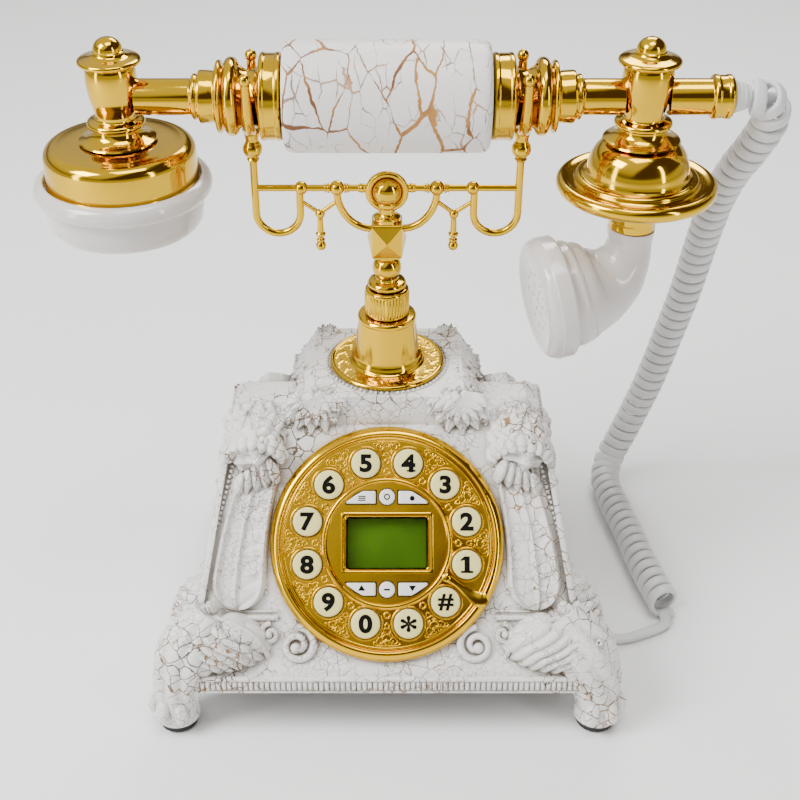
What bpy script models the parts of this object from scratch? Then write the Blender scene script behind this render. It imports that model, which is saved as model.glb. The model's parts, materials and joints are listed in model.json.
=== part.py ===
"""Antique-style push-button desk telephone: cast-resin base, plated column, cradle and handset.

Sizes are named in millimetres and become metres when an object is made. The floor is z = 0, +X is to
the right and +Z is up; the sloping dial faces -Y. The column stands a little behind the middle.
"""
import math

import bmesh
import bpy
from mathutils import Matrix, Vector

MM = 0.001
GAP = 0.3                    # clearance between pieces that touch

# Driving dimensions
COLUMN_Y = 12.0              # the column's axis, behind the middle of the base
HANDSET_Z = 236.0            # axis of the handset at rest
EAR_X = -102.5               # post over the ear cup
MOUTH_X = 97.0               # post over the mouthpiece
NECK_X = 51.5                # handset necks and cradle forks, either side
DIAL_CENTRE = (0.0, -52.0, 73.0)
DIAL_TILT = 50.0             # front slope, degrees from level
DIAL_R = 47.5
KEY_CIRCLE_R = 33.3
KEY_R = 5.9
BODY_BOTTOM_Z = 22.0
BAR_TOP_Z = 30.5             # top of the moulding bar round the bottom edge
SLOPE_START_Z = 34.5
SHOULDER_Z = 105.0
BLOCK_TOP_Z = 119.5
WALL = 3.5
BODY_HALF_W = 80.0
BODY_HALF_D = 85.0
PLATE_TOP_Z = 29.7
PLATE_HALF_W = 75.0          # inside of the bottom rim, where the plate fits
PLATE_HALF_D = 80.0
PLATE_CORNER = 24.0
STEM_R = 4.0
TUBE_R = 6.75
HANDSET_JACK_X = 45.0        # sockets in the back wall
LINE_JACK_X = -34.0
JACK_Y = 72.0
JACK_Z = 43.0
JACK_HALF_W = 7.0
JACK_HALF_H = 6.0
JACK_HALF_DEPTH = 7.0
COIL_R = 7.25                # outside of the curly cord's turns
RIBBON_R = 1.8               # the flat cord as a round one of the same section


# ---------------------------------------------------------------- scene and materials

def clear_scene():
    for item in list(bpy.data.objects):
        bpy.data.objects.remove(item)


def material(name, colour, roughness, metallic=0.0):
    made = bpy.data.materials.new(name)
    made.use_nodes = True
    surface = made.node_tree.nodes["Principled BSDF"]
    surface.inputs["Base Color"].default_value = (*colour, 1.0)
    surface.inputs["Roughness"].default_value = roughness
    surface.inputs["Metallic"].default_value = metallic
    return made


def make_materials():
    return {
        "resin": material("white_crackle_resin", (0.82, 0.81, 0.78), 0.45),
        "gold": material("gold_plate", (0.95, 0.66, 0.16), 0.12, 1.0),
        "ivory": material("ivory_plastic", (0.86, 0.83, 0.79), 0.25),
        "key": material("cream_key", (0.86, 0.82, 0.62), 0.35),
        "function_key": material("white_key", (0.85, 0.84, 0.80), 0.35),
        "rubber": material("black_rubber", (0.02, 0.02, 0.02), 0.8),
        "dark": material("dark_plastic", (0.05, 0.05, 0.05), 0.6),
        "board": material("circuit_board", (0.05, 0.25, 0.10), 0.5),
        "steel": material("zinc_steel", (0.60, 0.60, 0.62), 0.3, 1.0),
        "glass": material("display_window", (0.35, 0.50, 0.12), 0.08),
        "display": material("display_module", (0.30, 0.42, 0.05), 0.3),
        "mat": material("grey_silicone", (0.45, 0.45, 0.47), 0.7),
        "cord": material("grey_white_cord", (0.72, 0.72, 0.72), 0.4),
    }


# ---------------------------------------------------------------- mesh building

def empty_at(name, location, rotation_x=0.0):
    frame = bpy.data.objects.new(name, None)
    bpy.context.scene.collection.objects.link(frame)
    frame.location = Vector(location) * MM
    frame.rotation_euler = (math.radians(rotation_x), 0.0, 0.0)
    return frame


def add_object(name, mesh_data, surface, parent=None, location=(0, 0, 0), rotation_z=0.0):
    """Turn a bmesh in millimetres into a named object in metres, smooth except at its edges."""
    bmesh.ops.recalc_face_normals(mesh_data, faces=mesh_data.faces)
    bmesh.ops.scale(mesh_data, vec=(MM, MM, MM), verts=mesh_data.verts)
    mesh = bpy.data.meshes.new(name)
    mesh_data.to_mesh(mesh)
    mesh_data.free()
    mesh.materials.append(surface)
    mesh.shade_smooth()
    mesh.set_sharp_from_angle(angle=math.radians(35))
    made = bpy.data.objects.new(name, mesh)
    bpy.context.scene.collection.objects.link(made)
    made.parent = parent
    made.location = Vector(location) * MM
    made.rotation_euler = (0.0, 0.0, math.radians(rotation_z))
    return made


def combine(target, tool, operation, solver="EXACT"):
    """Join a tool object to the target, or cut it away, and drop the tool."""
    bpy.context.view_layer.update()
    change = target.modifiers.new("combine", "BOOLEAN")
    change.operation = operation
    change.object = tool
    change.solver = solver
    seen = bpy.context.evaluated_depsgraph_get()
    result = bpy.data.meshes.new_from_object(target.evaluated_get(seen))
    target.modifiers.remove(change)
    target.data = result
    bpy.data.objects.remove(tool)


def lathe(outline, segments):
    """Turn (radius, height) points about Z. An outline that starts and ends at radius 0 is solid."""
    shape = bmesh.new()
    rings = []
    for radius, height in outline:
        if radius == 0:
            rings.append([shape.verts.new((0, 0, height))])
            continue
        turns = [2 * math.pi * i / segments for i in range(segments)]
        rings.append([shape.verts.new((radius * math.cos(a), radius * math.sin(a), height)) for a in turns])
    pairs = list(zip(rings, rings[1:]))
    if outline[0][0] != 0:
        pairs.append((rings[-1], rings[0]))
    for lower, upper in pairs:
        for i in range(segments):
            j = (i + 1) % segments
            corners = [lower[i % len(lower)], lower[j % len(lower)], upper[j % len(upper)], upper[i % len(upper)]]
            face = list(dict.fromkeys(corners))
            if len(face) > 2:
                shape.faces.new(face)
    return shape


def arc(centre_r, centre_h, radius, start, end, steps):
    """Points of an arc in a lathe outline, angles in degrees from +r towards +h."""
    turns = [math.radians(start + (end - start) * i / steps) for i in range(steps + 1)]
    return [(centre_r + radius * math.cos(a), centre_h + radius * math.sin(a)) for a in turns]


def turn_to_x(shape):
    """Lay a turned piece's axis along +X."""
    bmesh.ops.rotate(shape, cent=(0, 0, 0), matrix=Matrix.Rotation(math.radians(90), 3, "Y"), verts=shape.verts)
    return shape


def loft(rings):
    """Skin rings of equal length, closed by a flat face at each end."""
    shape = bmesh.new()
    made = [[shape.verts.new(point) for point in ring] for ring in rings]
    count = len(rings[0])
    for lower, upper in zip(made, made[1:]):
        for i in range(count):
            j = (i + 1) % count
            shape.faces.new((lower[i], lower[j], upper[j], upper[i]))
    shape.faces.new(made[0])
    shape.faces.new(made[-1])
    return shape


def rounded_rectangle(half_w, front, back, z, corner, steps=3):
    """A level rectangle with round corners, from y = front to y = back."""
    centres = [(half_w - corner, back - corner), (corner - half_w, back - corner),
               (corner - half_w, front + corner), (half_w - corner, front + corner)]
    ring = []
    for quarter, (cx, cy) in enumerate(centres):
        for i in range(steps + 1):
            a = math.radians(90 * quarter + 90 * i / steps)
            ring.append((cx + corner * math.cos(a), cy + corner * math.sin(a), z))
    return ring


def box(half_x, half_y, low_z, high_z, corner=0.8):
    return loft([rounded_rectangle(half_x, -half_y, half_y, z, corner, 1) for z in (low_z, high_z)])


def smooth_points(points, per_span):
    """Points on a smooth curve through the given ones."""
    knots = [Vector(p) for p in points]
    knots = [knots[0] * 2 - knots[1]] + knots + [knots[-1] * 2 - knots[-2]]
    curve = []
    for i in range(1, len(knots) - 2):
        before, start, end, after = knots[i - 1:i + 3]
        for step in range(per_span):
            t = step / per_span
            curve.append(0.5 * (2 * start + (end - before) * t
                                + (2 * before - 5 * start + 4 * end - after) * t * t
                                + (3 * start - before - 3 * end + after) * t ** 3))
    return curve + [knots[-2]]


def sweep(points, radii, sides):
    """A round rod along the points, with its radius at each one and flat ends."""
    path = [Vector(p) for p in points]
    across = None
    rings = []
    for i, centre in enumerate(path):
        ahead = (path[min(i + 1, len(path) - 1)] - path[max(i - 1, 0)]).normalized()
        if across is None:
            guess = Vector((1, 0, 0)) if abs(ahead.x) < 0.8 else Vector((0, 1, 0))
            across = ahead.cross(guess).normalized()
        across = (across - ahead * across.dot(ahead)).normalized()
        side = ahead.cross(across)
        turns = [2 * math.pi * k / sides for k in range(sides)]
        rings.append([centre + (across * math.cos(a) + side * math.sin(a)) * radii[i] for a in turns])
    return loft(rings)


def rod(points, radius, sides=6):
    return sweep(points, [radius] * len(points), sides)


def ball(centre, radius, sides=8, steps=3):
    outline = [(0, -radius)] + arc(0, 0, radius, -55, 55, steps) + [(0, radius)]
    shape = lathe(outline, sides)
    bmesh.ops.translate(shape, vec=centre, verts=shape.verts)
    return shape


def ellipsoid(centre, radii):
    shape = ball((0, 0, 0), 1.0, 14, 4)
    bmesh.ops.scale(shape, vec=radii, verts=shape.verts)
    bmesh.ops.translate(shape, vec=centre, verts=shape.verts)
    return shape


def add_united(name, shapes, surface, parent=None, location=(0, 0, 0), solver="EXACT"):
    """One object from overlapping closed shapes."""
    whole = add_object(name, shapes[0], surface, parent, location)
    for shape in shapes[1:]:
        combine(whole, add_object(name + "_part", shape, surface, parent, location), "UNION", solver)
    whole.data.shade_smooth()
    whole.data.set_sharp_from_angle(angle=math.radians(35))
    return whole


def cut(target, shape, parent=None, location=(0, 0, 0), solver="EXACT"):
    tool = add_object("cutter", shape, target.data.materials[0], parent, location)
    combine(target, tool, "DIFFERENCE", solver)


# ---------------------------------------------------------------- base

def slope_depth(z):
    """Half-depth of the sloping body at a height: the dial rests on this slope."""
    behind = 5.0             # from the dial's front plane back to the slope
    tilt = math.radians(DIAL_TILT)
    y = DIAL_CENTRE[1] + behind * math.sin(tilt)
    height = DIAL_CENTRE[2] - behind * math.cos(tilt)
    return -y + (height - z) / math.tan(tilt)


def body_half_width(z):
    return 78.5 - 0.2 * (z - SLOPE_START_Z)


def body_ring(z, half_w, half_d, corner=5.0):
    return rounded_rectangle(half_w, -half_d, half_d, z, corner)


def body_outside():
    top_z = SHOULDER_Z + 2.5
    return loft([
        body_ring(BODY_BOTTOM_Z, BODY_HALF_W - 1, BODY_HALF_D - 1),
        body_ring(BODY_BOTTOM_Z + 1, BODY_HALF_W, BODY_HALF_D),
        body_ring(BAR_TOP_Z - 1, BODY_HALF_W, BODY_HALF_D),
        body_ring(BAR_TOP_Z, BODY_HALF_W - 1, BODY_HALF_D - 2),
        body_ring(SLOPE_START_Z, body_half_width(SLOPE_START_Z), slope_depth(SLOPE_START_Z)),
        body_ring(SHOULDER_Z, body_half_width(SHOULDER_Z), slope_depth(SHOULDER_Z)),
        body_ring(top_z, body_half_width(top_z) - 5, slope_depth(top_z) - 2),
    ])


def body_inside():
    slope_wall = WALL / math.sin(math.radians(DIAL_TILT))
    ceiling_z = SHOULDER_Z - 4.5
    ledge_z = PLATE_TOP_Z + GAP
    return loft([
        body_ring(BODY_BOTTOM_Z - 4, PLATE_HALF_W, PLATE_HALF_D, PLATE_CORNER),
        body_ring(ledge_z, PLATE_HALF_W, PLATE_HALF_D, PLATE_CORNER),
        body_ring(ledge_z + 0.1, PLATE_HALF_W - 2.5, PLATE_HALF_D - 4.5, PLATE_CORNER),
        body_ring(SLOPE_START_Z, body_half_width(SLOPE_START_Z) - WALL - 0.5, slope_depth(SLOPE_START_Z) - slope_wall,
                  PLATE_CORNER - 2),
        body_ring(ceiling_z, body_half_width(ceiling_z) - WALL, slope_depth(ceiling_z) - slope_wall, 4.0),
    ])


def block_outside():
    """The square block under the column."""
    return loft([
        rounded_rectangle(43.0, -8.0, 43.0, 76.0, 3.0),
        rounded_rectangle(40.5, -16.5, 41.5, 104.0, 3.0),
        rounded_rectangle(31.5, -15.5, 39.5, BLOCK_TOP_Z, 3.0),
    ])


def block_inside():
    return loft([
        rounded_rectangle(38.0, -4.0, 36.5, 70.0, 2.0),
        rounded_rectangle(36.5, -12.5, 37.5, 104.0, 2.0),
        rounded_rectangle(29.0, -11.5, 35.5, BLOCK_TOP_Z - WALL, 2.0),
    ])


def front_claw(side):
    """Flared claw foot at a front corner."""
    return sweep([(side * 70, -68, 50), (side * 79, -74, 37), (side * 84.5, -77, 24), (side * 86.5, -78.5, 12),
                  (side * 86.5, -78.5, 4.3)], [8, 12, 10.5, 9, 8.5], 10)


def back_claw(side):
    return sweep([(side * 64, 62, 48), (side * 69, 71, 36), (side * 71.5, 76, 24), (side * 72, 78, 12),
                  (side * 72, 78, 4.3)], [8, 10, 9.5, 9, 8.5], 10)


def base_shell(surface, dial_frame):
    shapes = [body_outside(), block_outside()]
    for side in (-1, 1):
        shapes.append(front_claw(side))
        shapes.append(back_claw(side))
        shapes.append(ellipsoid((side * 69, -72, 39), (21, 12, 11)))      # shell wing, front
        shapes.append(ellipsoid((side * 79, -56, 38), (9, 20, 11)))       # shell wing, side
        shapes.append(ellipsoid((side * 54, -15, 101), (13, 19, 11.5)))   # shoulder scroll
    shell = add_united("base_shell", shapes, surface)
    cut(shell, body_inside(), solver="MANIFOLD")
    cut(shell, block_inside(), solver="MANIFOLD")
    cut(shell, lathe([(0, -14), (43, -14), (43, 12), (0, 12)], 32), dial_frame)
    cut(shell, lathe([(0, 110), (STEM_R + 1.3, 110), (STEM_R + 1.3, 125), (0, 125)], 16), None, (0, COLUMN_Y, 0))
    for jack_x in (HANDSET_JACK_X, LINE_JACK_X):
        cut(shell, box(JACK_HALF_W + GAP, 16.0, -JACK_HALF_H - GAP, JACK_HALF_H + GAP), None,
            (jack_x, JACK_Y, JACK_Z))
    shell.data.shade_smooth()
    shell.data.set_sharp_from_angle(angle=math.radians(35))
    return shell


def socket_block(name, x, surface):
    """A block in the back wall with its socket open towards +Y."""
    block = add_object(name, box(JACK_HALF_W, JACK_HALF_DEPTH, -JACK_HALF_H, JACK_HALF_H, 0.5), surface)
    hollow = box(JACK_HALF_W - 2.5, JACK_HALF_DEPTH, -JACK_HALF_H + 2.0, JACK_HALF_H - 2.0, 0.3)
    cut(block, hollow, None, (0, 2.5, 0))
    block.location = Vector((x, JACK_Y, JACK_Z)) * MM


def base_fittings(m):
    plate = add_object("bottom_plate", loft([
        body_ring(z, PLATE_HALF_W - GAP, PLATE_HALF_D - GAP, PLATE_CORNER - GAP)
        for z in (PLATE_TOP_Z - 2.7, PLATE_TOP_Z)]), m["dark"])
    for i, (x, y) in enumerate(((-52.0, 62.0), (52.0, 62.0))):
        cut(plate, lathe([(0, 20), (1.8, 20), (1.8, 35), (0, 35)], 12), None, (x, y, 0))
        head_z = PLATE_TOP_Z - 2.7 - GAP
        add_object(f"bottom_screw_{i}", lathe([
            (0, head_z - 2.0), (2.6, head_z - 2.0), (3.2, head_z - 1.2), (3.2, head_z), (1.5, head_z),
            (1.5, PLATE_TOP_Z + 5), (0, PLATE_TOP_Z + 6)], 12), m["steel"], None, (x, y, 0))
    feet = {"front_left": (-86.5, -78.5), "front_right": (86.5, -78.5),
            "back_left": (-72.0, 78.0), "back_right": (72.0, 78.0)}
    for name, (x, y) in feet.items():
        add_object("foot_pad_" + name, lathe([(0, 0), (7.2, 0), (8.0, 0.8), (8.0, 4.0), (0, 4.0)], 20),
                   m["rubber"], None, (x, y, 0))
    add_object("ringer", lathe([(0, PLATE_TOP_Z + GAP), (15, PLATE_TOP_Z + GAP), (15, 36), (12, 38), (3, 38),
                                (2.5, 36.5), (0, 36.5)], 20), m["dark"], None, (-38, 34, 0))
    socket_block("handset_jack", HANDSET_JACK_X, m["dark"])
    socket_block("line_jack", LINE_JACK_X, m["dark"])


# ---------------------------------------------------------------- dial

def dial_plate(surface, frame):
    plate = add_object("dial_plate", lathe([
        (0, -4.7), (41.2, -4.7), (41.2, -9.0), (42.7, -9.0), (42.7, -4.7), (46.8, -4.7), (DIAL_R, -4.0),
        (DIAL_R, -2.6), (46.4, -0.8), (44.6, 0), (43.4, -0.2), (42.4, -1.2), (26.0, -1.2), (25.6, -0.5),
        (24.8, -0.5), (24.4, -1.2), (0, -1.2)], 36), surface, frame)
    for centre in key_centres().values():
        cut(plate, hole(6.4, centre, 12), frame, solver="MANIFOLD")
    for name, centre in function_key_centres().items():
        if "middle" in name:
            cut(plate, hole(3.6, centre, 10), frame, solver="MANIFOLD")
        else:
            cut(plate, prism(wedge_outline(centre, 0.5), -6, 2), frame, solver="MANIFOLD")
    window = [(-16.7, -10.75), (16.7, -10.75), (16.7, 10.75), (-16.7, 10.75)]
    cut(plate, prism(window, -6, 2), frame, solver="MANIFOLD")
    plate.data.shade_smooth()
    plate.data.set_sharp_from_angle(angle=math.radians(30))


def hole(radius, centre, segments):
    shape = lathe([(0, -6), (radius, -6), (radius, 2), (0, 2)], segments)
    bmesh.ops.translate(shape, vec=(centre[0], centre[1], 0), verts=shape.verts)
    return shape


def prism(outline, low, high):
    return loft([[(x, y, z) for x, y in outline] for z in (low, high)])


def key_centres():
    """The twelve dialling keys, 30 degrees apart, counted anticlockwise from the lower right."""
    names = ["key_hash", "key_1", "key_2", "key_3", "key_4", "key_5", "key_6", "key_7", "key_8", "key_9",
             "key_0", "key_star"]
    centres = {}
    for i, name in enumerate(names):
        a = math.radians(-45 + 30 * i)
        centres[name] = (KEY_CIRCLE_R * math.cos(a), KEY_CIRCLE_R * math.sin(a))
    return centres


def function_key_centres():
    """Three small keys above the display and three below it."""
    rows = {"top": 18.6, "bottom": -18.6}
    columns = {"left": -10.8, "middle": 0.0, "right": 10.8}
    return {f"key_{row}_{column}": (x, y) for row, y in rows.items() for column, x in columns.items()}


def wedge_outline(centre, grow):
    """Outline of a side function key: square towards the middle, cut back along the dial's ring."""
    across = 1 if centre[0] > 0 else -1
    up = 1 if centre[1] > 0 else -1
    inner, outer = 4.6 - grow, 16.4 + grow
    low, high = 15.9 - grow, 21.0 + grow
    points = [(inner, low), (outer, low), (outer, low + 0.8), (12.6 + grow, high - 1.6), (9.8, high), (inner, high)]
    ring = [(across * x, up * y) for x, y in points]
    return ring if across * up > 0 else ring[::-1]


def scaled_outline(outline, centre, factor):
    return [(centre[0] + (x - centre[0]) * factor, centre[1] + (y - centre[1]) * factor) for x, y in outline]


def push_button(radius, flange):
    return lathe([(0, -6.0), (radius + flange, -6.0), (radius + flange, -5.1), (radius, -5.1), (radius, 0.2),
                  (radius * 0.85, 1.0), (0, 1.3)], 10)


def keys(m, frame):
    for name, centre in key_centres().items():
        add_object(name, push_button(KEY_R, 1.1), m["key"], frame, (centre[0], centre[1], 0))
    for name, centre in function_key_centres().items():
        if "middle" in name:
            add_object(name, push_button(3.2, 0.9), m["function_key"], frame, (centre[0], centre[1], 0))
            continue
        outline = wedge_outline(centre, 0.0)
        top = scaled_outline(outline, centre, 0.85)
        levels = [(outline, -5.8), (outline, 0.0), (top, 0.8)]
        add_object(name, loft([[(x - centre[0], y - centre[1], z) for x, y in ring] for ring, z in levels]),
                   m["function_key"], frame, (centre[0], centre[1], 0))


def dial_insides(m, frame):
    """Display, silicone key mat and circuit board, stacked behind the plate."""
    add_object("lcd_window", box(18.2, 12.2, -6.2, -5.0), m["glass"], frame)
    add_object("lcd_module", box(19.0, 13.2, -10.4, -6.5), m["display"], frame)
    mat = add_object("keypad_mat", lathe([(0, -9.6), (40.6, -9.6), (40.6, -7.9), (0, -7.9)], 32), m["mat"], frame)
    cut(mat, box(19.6, 13.8, -12, -6), frame)
    add_object("circuit_board", lathe([(0, -12.4), (40.6, -12.4), (40.6, -10.8), (0, -10.8)], 32), m["board"], frame)


def finger_stop(surface, frame):
    """Curved blade over the rim at the lower right, with its screw head."""
    turn = math.radians(-30)
    outline = [(27.0, -1.6), (29.0, -1.6), (38.0, -2.0), (45.5, -3.0), (45.5, 3.0), (38.0, 1.0), (29.0, 1.6),
               (27.0, 1.6)]
    points = [(r * math.cos(turn) - s * math.sin(turn), r * math.sin(turn) + s * math.cos(turn))
              for r, s in outline]
    add_object("finger_stop", prism(points, 0.4, 1.6), surface, frame)


# ---------------------------------------------------------------- column and hook

def column(m, frame):
    bore = STEM_R + 0.6
    base = BLOCK_TOP_Z + GAP
    add_object("column_bell", lathe([
        (bore, base), (22.6, base), (23.0, base + 0.8), (22.4, base + 1.8), (15.6, base + 2.4),
        (14.0, base + 4), (13.4, 127), (12.5, 134), (11.8, 141.5), (11.4, 143.0), (10.4, 143.5), (bore, 143.5)],
        20), m["gold"], frame)
    add_object("column_nut", lathe([
        (bore, 143.8), (8.6, 143.8), (9.0, 144.4), (9.0, 154.0), (8.0, 155.5), (bore, 155.5)], 16),
        m["gold"], frame)
    stem = lathe([(0, 68.6), (3.5, 68.6), (3.5, 84.0), (8.0, 84.0), (8.0, 86.5), (STEM_R, 86.6),
                  (STEM_R, 156.2), (7.4, 156.2), (7.9, 157.5), (7.2, 158.8), (3.4, 159.4)]
                 + arc(0, 164.4, 5.5, -50, 50, 4) + [(3.2, 169.2), (3.2, 172.0), (0, 172.0)], 14)
    add_united("cradle_stem", [stem, faceted_block()], m["gold"], frame)
    add_object("hook_switch", hook_switch_shape(), m["dark"], frame)
    spring = [(6.0 * math.cos(a), 6.0 * math.sin(a), 69.2 + 13.9 * a / (8 * math.pi))
              for a in (math.pi * i / 4 for i in range(33))]
    add_object("hook_spring", rod(spring, 0.6, 5), m["steel"], frame)


def faceted_block():
    """Square block with a low pyramid on each side."""
    shape = bmesh.new()
    half, apex, low, high = 5.7, 7.6, 170.4, 185.6
    for x in (-half, half):
        for y in (-half, half):
            for z in (low, high):
                shape.verts.new((x, y, z))
    middle = (low + high) / 2
    for x, y in ((apex, 0), (-apex, 0), (0, apex), (0, -apex)):
        shape.verts.new((x, y, middle))
    bmesh.ops.convex_hull(shape, input=shape.verts)
    return shape


def hook_switch_shape():
    low = PLATE_TOP_Z + GAP
    return loft([rounded_rectangle(w, -d, d, z, 1.0, 1) for w, d, z in
                 ((9, 8, low), (9, 8, low + 2), (6.5, 6, low + 3), (6.5, 6, 60), (9.5, 9.5, 63), (9.5, 9.5, 68.2))])


# ---------------------------------------------------------------- cradle

def cradle_frame(surface, frame):
    bar_z = 199.0
    wire = 1.45
    beads = ((19.5, 2.9), (33.5, 2.6))
    shapes = [rod([(-NECK_X + 0.5, 0, bar_z), (NECK_X - 0.5, 0, bar_z)], 1.3),
              torus(6.3, 1.2, 198.0), ball((0, 0, 198), 5.2), rod([(0, 0, 187.3), (0, 0, 194)], 3.4, 8)]
    for side in (-1, 1):
        x = side * NECK_X
        hoop = [(x, 0, 210.8)] + [
            (side * (42.8 + 8.7 * math.cos(a)), 0, 188.3 - 8.7 * math.sin(a))
            for a in (math.pi * i / 6 for i in range(7))] + [(side * 34.1, 0, bar_z)]
        shapes.append(rod(hoop, wire))
        for bead_x, radius in beads:
            shapes.append(ball((side * bead_x, 0, bar_z), radius))
        arm = [(side * (19.5 - 11.0 * (1 - math.cos(a))), 0, 197.0 - 15.5 * math.sin(a))
               for a in (math.pi / 2 * i / 4 for i in range(5))]
        shapes.append(rod(arm, wire))
        for reach in (20.6, 32.6):
            shapes.append(rod([(side * reach, 0, 192.5), (side * 26.2, 0, 188.6)], 0.9, 6))
        shapes.append(pendant(side * 26.2))
    add_united("cradle_frame", shapes, surface, frame, solver="MANIFOLD")


def torus(ring_r, wire_r, z):
    """A ring that faces the front."""
    shape = lathe(arc(ring_r, 0, wire_r, 0, 300, 5), 16)
    bmesh.ops.rotate(shape, cent=(0, 0, 0), matrix=Matrix.Rotation(math.radians(90), 3, "X"), verts=shape.verts)
    bmesh.ops.translate(shape, vec=(0, 0, z), verts=shape.verts)
    return shape


def pendant(x):
    shape = lathe([(0, 172.6), (1.6, 173.4), (1.9, 174.6), (1.2, 175.8), (2.1, 177.6), (1.1, 179.0), (1.1, 185.5),
                   (1.9, 187.5), (1.6, 189.2), (0, 190.0)], 6)
    bmesh.ops.translate(shape, vec=(x, 0, 0), verts=shape.verts)
    return shape


def cradle_fork(name, x, surface, frame):
    """Two upright prongs, before and behind the handset's neck, on a ball."""
    reach, ball_z, tip_z = 12.4, 215.0, 247.0
    prong_r = 1.9
    lower = [(0, reach * math.sin(a), HANDSET_Z - reach * math.cos(a))
             for a in (math.radians(-90 + 30 * i) for i in range(7))]
    path = [(0, -reach - 1.2, tip_z)] + lower + [(0, reach + 1.2, tip_z)]
    shapes = [rod(path, prong_r), ball((0, -reach - 1.2, tip_z), 2.4), ball((0, reach + 1.2, tip_z), 2.4),
              ball((0, 0, ball_z), 3.6), rod([(0, 0, ball_z), (0, 0, HANDSET_Z - reach)], 2.6)]
    add_united(name, shapes, surface, frame, (x, 0, 0))


# ---------------------------------------------------------------- handset

def handset_arm(name, tip_x, barrel_x, turned, surface, frame):
    """Turned tube from inside the grip to its post. It is made along +X; turned points it to -X."""
    bore = 4.6
    outline = [
        (bore, 24.0), (6.6, 24.0), (6.6, 38.8), (11.5, 38.8), (15.6, 39.4), (16.2, 40.2), (16.2, 46.0),
        (15.4, 47.0), (11.5, 48.0), (10.0, 50.5), (10.0, 52.5), (11.5, 55.0)]
    outline += arc(12.2, 58.2, 2.3, -60, 60, 3)
    outline += [(10.8, 61.2), (13.4, 62.0), (13.4, 63.0), (9.6, 63.8), (9.9, 70.0), (8.0, 70.6), (8.3, 72.2),
                (TUBE_R, 73.0), (TUBE_R, tip_x), (bore, tip_x)]
    arm = add_object(name, turn_to_x(lathe(outline, 16)), surface, frame, rotation_z=180 if turned else 0)
    post = lathe([(0, -30), (9.6, -30), (9.6, 30), (0, 30)], 20)
    cut(arm, post, frame, (barrel_x, 0, 0))
    arm.data.shade_smooth()
    arm.data.set_sharp_from_angle(angle=math.radians(35))


def post_outline(foot_z):
    """Turned post, heights counted from the handset's axis: foot, waist, ring, barrel, disc and finial."""
    return [(0, foot_z), (14.6, foot_z), (14.6, foot_z + 0.9), (10.6, foot_z + 1.6), (9.2, foot_z + 5.5),
            (10.8, foot_z + 6.6), (10.8, foot_z + 8.0), (7.4, foot_z + 8.8), (7.6, foot_z + 11.0), (9.2, 2.0),
            (9.3, 9.0), (8.8, 12.6), (11.2, 13.2), (11.7, 14.4), (10.8, 15.2), (5.4, 16.2), (5.2, 18.0),
            (5.5, 18.8), (3.9, 21.6), (0, 22.5)]


def handset(m, frame):
    add_object("handset_grip", turn_to_x(lathe([
        (7.0, -38.5), (17.6, -38.5), (19.8, -37.0), (20.5, -34.5), (20.8, 0), (20.5, 34.5), (19.8, 37.0),
        (17.6, 38.5), (7.0, 38.5)], 24)), m["resin"], frame)
    handset_arm("handset_arm_left", -EAR_X, EAR_X, True, m["gold"], frame)
    handset_arm("handset_arm_right", MOUTH_X, MOUTH_X, False, m["gold"], frame)
    add_object("ear_post", lathe(post_outline(-17.0), 14), m["gold"], frame, (EAR_X, 0, 0))
    stub = turn_to_x(lathe([(0, 0), (TUBE_R, 0), (TUBE_R, 24.0), (8.1, 24.6), (8.1, 31.4), (7.2, 32.2), (0, 32.2)],
                           14))
    add_united("mouth_post", [lathe(post_outline(-17.0), 14), stub], m["gold"], frame, (MOUTH_X, 0, 0))
    add_object("cord_bush", turn_to_x(lathe([(0, 32.5), (6.2, 32.5), (5.6, 35.0), (4.4, 38.8), (0, 39.0)], 14)),
               m["cord"], frame, (MOUTH_X, 0, 0))


def earpiece(m, frame):
    """Plated drum over a white screw cap, with the receiver between them. Heights are above the floor."""
    top = HANDSET_Z - 17.0 - GAP
    place = (EAR_X, 0, -HANDSET_Z)
    add_object("ear_housing", lathe([
        (0, top), (22.0, top)] + arc(24.4, top - 4.6, 4.6, 75, 0, 3) + [
        (29.2, 203.0), (29.2, 202.0), (27.4, 202.0), (27.0, top - 4.0), (22.5, top - 1.8), (0, top - 1.8)], 24),
        m["gold"], frame, place)
    cup_bottom = 184.0
    cap = add_object("ear_cap", lathe(ear_cap_outline(cup_bottom), 24), m["ivory"], frame, place)
    for i in range(6):
        a = math.radians(60 * i)
        spot = lathe([(0, cup_bottom - 1), (1.5, cup_bottom - 1), (1.5, cup_bottom + 6), (0, cup_bottom + 6)], 6)
        cut(cap, spot, frame, (EAR_X + 7 * math.cos(a), 7 * math.sin(a), -HANDSET_Z))
    add_object("receiver_capsule", lathe([
        (0, cup_bottom + 5.0), (20, cup_bottom + 5.0), (21, cup_bottom + 6.0), (21, 196.0), (12, 198.5),
        (0, 198.5)], 20), m["dark"], frame, place)


def ear_cap_outline(bottom):
    """Closed outline from the middle of the face, out round the lip and back down the inside."""
    face = [(0, bottom + 2.6), (14.0, bottom + 2.2), (24.0, bottom), (28.4, bottom), (30.2, 190.0), (29.8, 195.6)]
    lip = arc(30.2, 200.4, 3.8, -60, 60, 4) + [(31.0, 205.0), (29.6, 204.2)]
    inside = [(29.6, 201.6), (26.8, 201.4), (26.6, bottom + 4.6), (0, bottom + 4.6)]
    return face + lip + inside


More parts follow.
